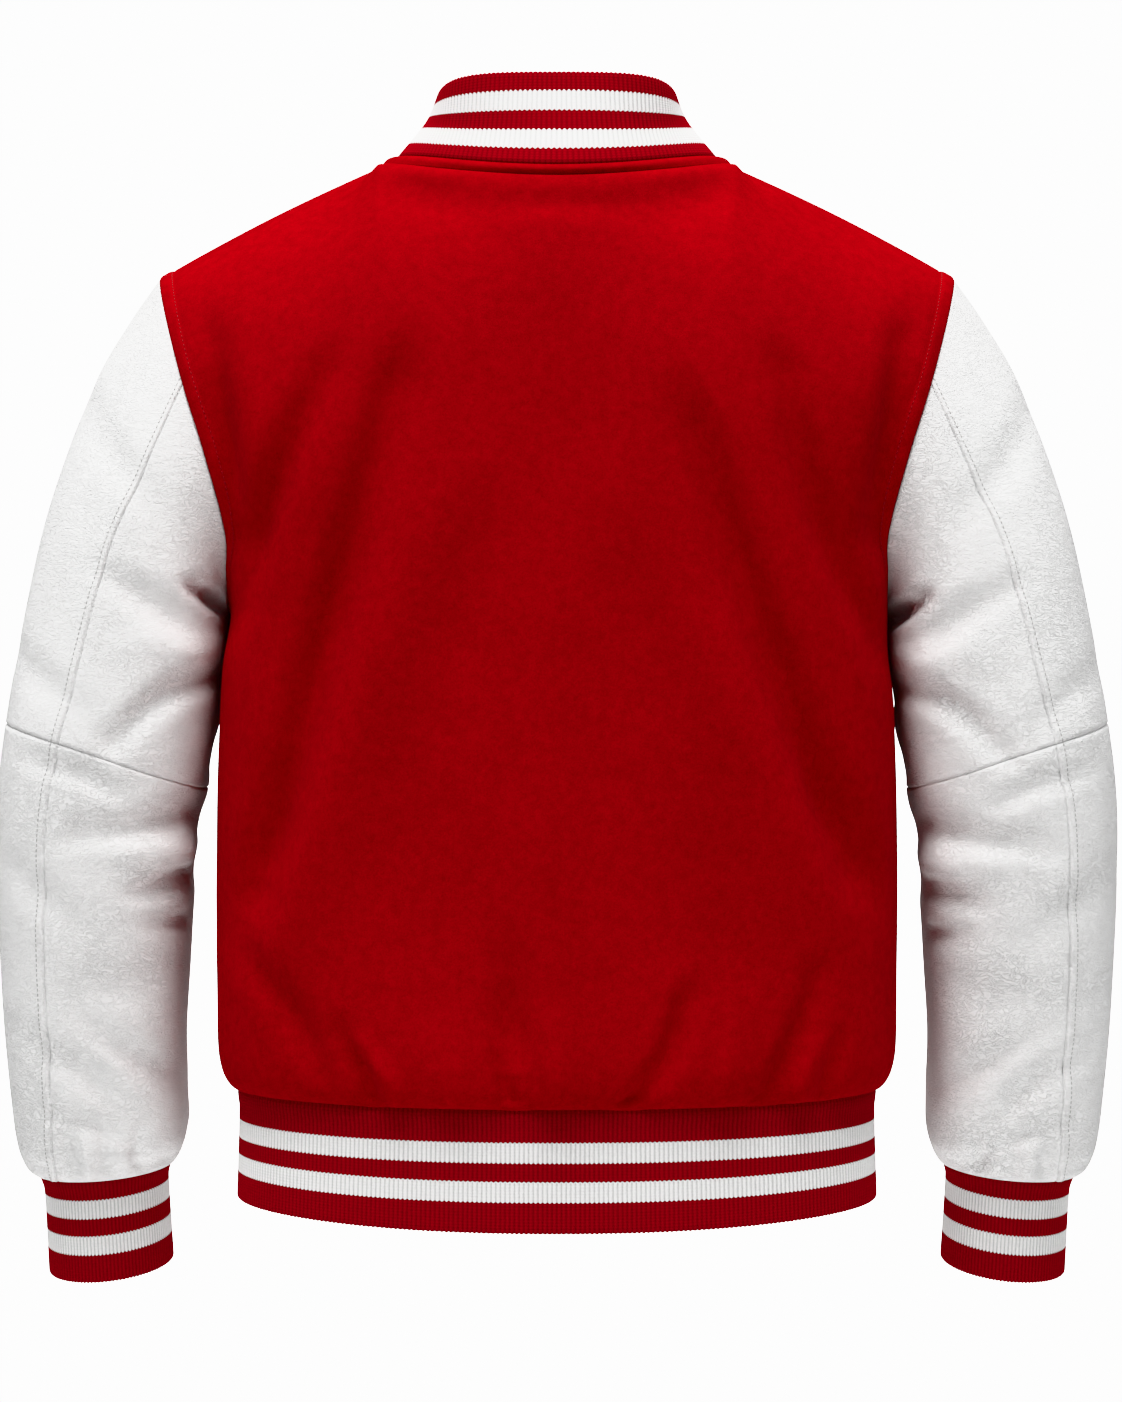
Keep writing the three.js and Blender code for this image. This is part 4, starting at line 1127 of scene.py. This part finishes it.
# The leather's grain: its pattern is drawn out along z, bent by a slow noise and cut into lines.
GRAIN_STRETCH = 2.1
GRAIN_BEND = 14.0
LEATHER_DARK = (0.87, 0.866, 0.862)
LEATHER_WHITE = (0.905, 0.902, 0.898)


def leather_material():
    """White leather, with a fine grain of wavy creases that lie mostly across the sleeve, and
    painted shade along the creases.
    """
    material, nodes, links, shader, place = new_material("leather")
    drawn_out = stretched(nodes, links, place, (1, 1, GRAIN_STRETCH))
    bend = noise_texture(nodes, links, drawn_out, 0.07, 2.0)["Color"]
    moved = nodes.new("ShaderNodeVectorMath")
    moved.operation = "MULTIPLY_ADD"
    moved.inputs[1].default_value = (GRAIN_BEND, GRAIN_BEND, GRAIN_BEND)
    links.new(bend, moved.inputs[0])
    links.new(drawn_out, moved.inputs[2])
    lines = noise_texture(nodes, links, moved.outputs["Vector"], 0.3, 2.5, 0.55)["Fac"]
    middle = math_node(nodes, links, "SUBTRACT", lines, 0.5)
    away = math_node(nodes, links, "ABSOLUTE", middle)
    grain = ramp(nodes, links, away, [(0.0, 0.0), (0.02, 0.5), (0.08, 1.0)])
    calm = ramp(nodes, links, noise(nodes, links, place, 0.016, 2.0), [(0.38, 0.55), (0.6, 1.0)])
    wrinkle = noise(nodes, links, place, 0.11, 5.0, 0.62, (1, 1, 2.6))
    pores = noise(nodes, links, place, 1.6, 2.0, 0.6)
    colour = ramp(nodes, links, wrinkle, [(0.3, LEATHER_DARK), (0.6, LEATHER_WHITE)])
    # Painted shade: the grain's crease lines, where the bump sinks, are painted up to 7% darker.
    shade = ramp(nodes, links, grain, [(0.0, 0.93), (0.6, 1.0)])
    colour = mix(nodes, links, "MULTIPLY", 1.0, colour, shade)
    normal = bump(nodes, links, wrinkle, 1.1, 0.6)
    crease = math_node(nodes, links, "MULTIPLY", grain, calm)
    normal = bump(nodes, links, crease, 0.45, 1.0, normal)
    normal = bump(nodes, links, pores, 0.04, 0.5, normal)
    dress(links, shader, colour, normal, {"Roughness": 0.5, "Specular IOR Level": 0.4})
    return material


KNIT_RED = (0.27, 0.002, 0.006)
KNIT_WHITE = (0.88, 0.875, 0.87)
STITCH_ROW = 1.9


def knit_material(name, stripes):
    material, nodes, links, shader, place = new_material(name)
    uv = nodes.new("ShaderNodeUVMap")
    uv.uv_map = "knit"
    parts = nodes.new("ShaderNodeSeparateXYZ")
    links.new(uv.outputs["UV"], parts.inputs["Vector"])
    across, down = parts.outputs["X"], parts.outputs["Y"]
    turn = math_node(nodes, links, "MULTIPLY", across, 2 * math.pi)
    wave = math_node(nodes, links, "COSINE", turn)
    edge = math_node(nodes, links, "MULTIPLY_ADD", wave, 0.35, down)
    length = stripes[-1]
    share = math_node(nodes, links, "DIVIDE", edge, length)
    bands = [KNIT_RED, KNIT_WHITE, KNIT_RED, KNIT_WHITE, KNIT_RED]
    starts = [0.0, *(place / length for place in stripes[:-1])]
    colour = ramp(nodes, links, share, list(zip(starts, bands)), "CONSTANT")
    # Painted shade: the grooves between the ribs are painted darker, down to 0.7 of the stripe
    # colour.
    painted_groove_shade = ramp(nodes, links, math_node(nodes, links, "MULTIPLY_ADD", wave, 0.5, 0.5),
                  [(0.0, 1.0), (0.55, 0.97), (1.0, 0.7)])
    colour = mix(nodes, links, "MULTIPLY", 1.0, colour, painted_groove_shade)
    fibre = noise(nodes, links, place, 1.3, 3.0, 0.7)
    fleck = ramp(nodes, links, fibre, [(0.3, 0.9), (0.7, 1.06)])
    colour = mix(nodes, links, "MULTIPLY", 1.0, colour, fleck)
    slant = math_node(nodes, links, "ABSOLUTE", wave)
    row = math_node(nodes, links, "DIVIDE", down, STITCH_ROW)
    phase = math_node(nodes, links, "MULTIPLY_ADD", slant, 0.35, row)
    loops = math_node(nodes, links, "SINE", math_node(nodes, links, "MULTIPLY", phase, 2 * math.pi))
    normal = bump(nodes, links, loops, 0.12, 0.6)
    normal = bump(nodes, links, fibre, 0.12, 0.7, normal)
    dress(links, shader, colour, normal, {"Roughness": 0.9, "Specular IOR Level": 0.02})
    return material


THREAD_RED = (0.3, 0.002, 0.005)
THREAD_WHITE = (0.55, 0.54, 0.53)


def thread_material(name, tone):
    """Twisted thread, with painted shade between its plies."""
    material, nodes, links, shader, place = new_material(name)
    plies = noise(nodes, links, place, 2.5, 2.0, 0.5)
    # Painted shade: the low parts of the ply noise, which the bump sinks, are painted at three
    # quarters of the thread's tone.
    ply_shade_tone = tuple(0.75 * value for value in tone)
    colour = ramp(nodes, links, plies, [(0.35, ply_shade_tone), (0.6, tone)])
    dress(links, shader, colour, bump(nodes, links, plies, 0.05, 0.5), {"Roughness": 0.6})
    return material


def snap_material():
    material, nodes, links, shader, place = new_material("snap")
    haze = noise(nodes, links, place, 0.4, 3.0, 0.6)
    colour = ramp(nodes, links, haze, [(0.3, (0.8, 0.79, 0.77)), (0.7, (0.85, 0.84, 0.82))])
    dress(links, shader, colour, bump(nodes, links, haze, 0.05, 0.3),
          {"Roughness": 0.25, "Coat Weight": 0.4})
    return material


# Stage: the floor, the camera and the light

PHOTO_HEIGHT = 1402
PIXELS_PER_MM = 1.575
CAMERA_DISTANCE = 2300.0
CAMERA_HEIGHT = -341.6
CAMERA_SIDE = -2.54
SENSOR = 36.0
FLOOR_HEIGHT = -1.48
FLOOR_HALF = 1.6
# A wide softbox high up behind the camera's side of the jacket, in metres and watts.
SOFTBOX_PLACE = (0.35, 1.35, 4.0)
SOFTBOX_SIZE = 3.0
SOFTBOX_POWER = 365.0
# The sky's brightness from straight down, over the horizon, to straight up.
SKY = [(0.0, 0.24), (0.5, 0.38), (0.75, 0.6), (1.0, 0.85)]
# How bright the white behind the jacket is, which only the camera sees.
BACKGROUND = 4.0


def make_stage():
    floor = new_object("floor", [(x * FLOOR_HALF / MM, y * FLOOR_HALF / MM, FLOOR_HEIGHT / MM)
                                 for x, y in ((-1, -1), (1, -1), (1, 1), (-1, 1))], [(0, 1, 2, 3)])
    material, nodes, links, shader, place = new_material("floor")
    tone = noise(nodes, links, place, 0.002, 2.0)
    links.new(ramp(nodes, links, tone, [(0.3, 0.9), (0.7, 0.92)]), shader.inputs["Base Color"])
    shader.inputs["Roughness"].default_value = 0.9
    floor.data.materials.append(material)

    camera = bpy.data.objects.new("camera", bpy.data.cameras.new("camera"))
    bpy.context.scene.collection.objects.link(camera)
    camera.location = (CAMERA_SIDE * MM, CAMERA_DISTANCE * MM, CAMERA_HEIGHT * MM)
    camera.rotation_euler = (math.pi / 2, 0, math.pi)
    camera.data.sensor_width = SENSOR
    camera.data.lens = SENSOR * PIXELS_PER_MM * CAMERA_DISTANCE / PHOTO_HEIGHT
    camera.data.clip_end = 100
    bpy.context.scene.camera = camera

    world = bpy.data.worlds.new("world")
    bpy.context.scene.world = world
    world.use_nodes = True
    nodes, links = world.node_tree.nodes, world.node_tree.links
    soft = nodes["Background"]
    soft.inputs["Strength"].default_value = 1.0
    direction = nodes.new("ShaderNodeTexCoord")
    parts = nodes.new("ShaderNodeSeparateXYZ")
    links.new(direction.outputs["Generated"], parts.inputs["Vector"])
    height = math_node(nodes, links, "MULTIPLY_ADD", parts.outputs["Z"], 0.5, 0.5)
    links.new(ramp(nodes, links, height, SKY), soft.inputs["Color"])
    seen = nodes.new("ShaderNodeBackground")
    seen.inputs["Color"].default_value = (1, 1, 1, 1)
    seen.inputs["Strength"].default_value = BACKGROUND
    path = nodes.new("ShaderNodeLightPath")
    chosen = nodes.new("ShaderNodeMixShader")
    links.new(path.outputs["Is Camera Ray"], chosen.inputs[0])
    links.new(soft.outputs[0], chosen.inputs[1])
    links.new(seen.outputs[0], chosen.inputs[2])
    links.new(chosen.outputs[0], nodes["World Output"].inputs["Surface"])

    softbox = bpy.data.lights.new("softbox", "AREA")
    softbox.size = SOFTBOX_SIZE
    softbox.energy = SOFTBOX_POWER
    lamp = bpy.data.objects.new("softbox", softbox)
    lamp.location = SOFTBOX_PLACE
    aim = Vector((0, 0, CAMERA_HEIGHT * MM)) - lamp.location
    lamp.rotation_euler = aim.to_track_quat("-Z", "Y").to_euler()
    bpy.context.scene.collection.objects.link(lamp)


# Putting it together


def finish_extra(obj, material):
    obj.data.materials.append(material)
    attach(obj, "root")


def finish_piece(obj, node, material):
    finish_extra(obj, material)
    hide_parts(node)
    return obj


def finish_body(wool, thread):
    """The back, the two fronts and the neck band."""
    back, stitches = make_back()
    finish_extra(stitches, thread)
    finish_piece(back, "back", wool)
    for side, sign in (("left", 1), ("right", -1)):
        front, stitches = make_front(side, sign, side == "right")
        finish_extra(stitches, thread)
        finish_piece(front, f"front_{side}", wool)
    finish_piece(make_neck_band(), "neck_band", wool)


def finish_sleeve(side, sign, leather, thread):
    panels, stitches = make_sleeve(side, sign)
    finish_extra(stitches, thread)
    for part, obj in panels.items():
        finish_piece(obj, f"sleeve_{side}_{part}", leather)
    cuff_knit = knit_material(f"knit_cuff_{side}", CUFF_STRIPES)
    cuff = finish_piece(make_cuff(side, sign), f"cuff_{side}", cuff_knit)


def main():
    make_stage()
    bpy.context.scene.view_settings.view_transform = "Khronos PBR Neutral"
    enamel = snap_material()
    snaps = [finish_piece(make_snap(number), f"snap_{number}", enamel)
             for number in range(1, len(SNAP_HEIGHTS) + 2)]
    finish_body(wool_material(), thread_material("red_thread", THREAD_RED))
    leather, thread = leather_material(), thread_material("white_thread", THREAD_WHITE)
    for side, sign in (("left", 1), ("right", -1)):
        finish_sleeve(side, sign, leather, thread)
    collar_knit = knit_material("knit_collar", COLLAR_STRIPES)
    finish_piece(make_collar(), "collar", collar_knit)
    hem_knit = knit_material("knit_hem", HEM_STRIPES)
    hem_band = finish_piece(make_hem_band(), "hem_band", hem_knit)


main()
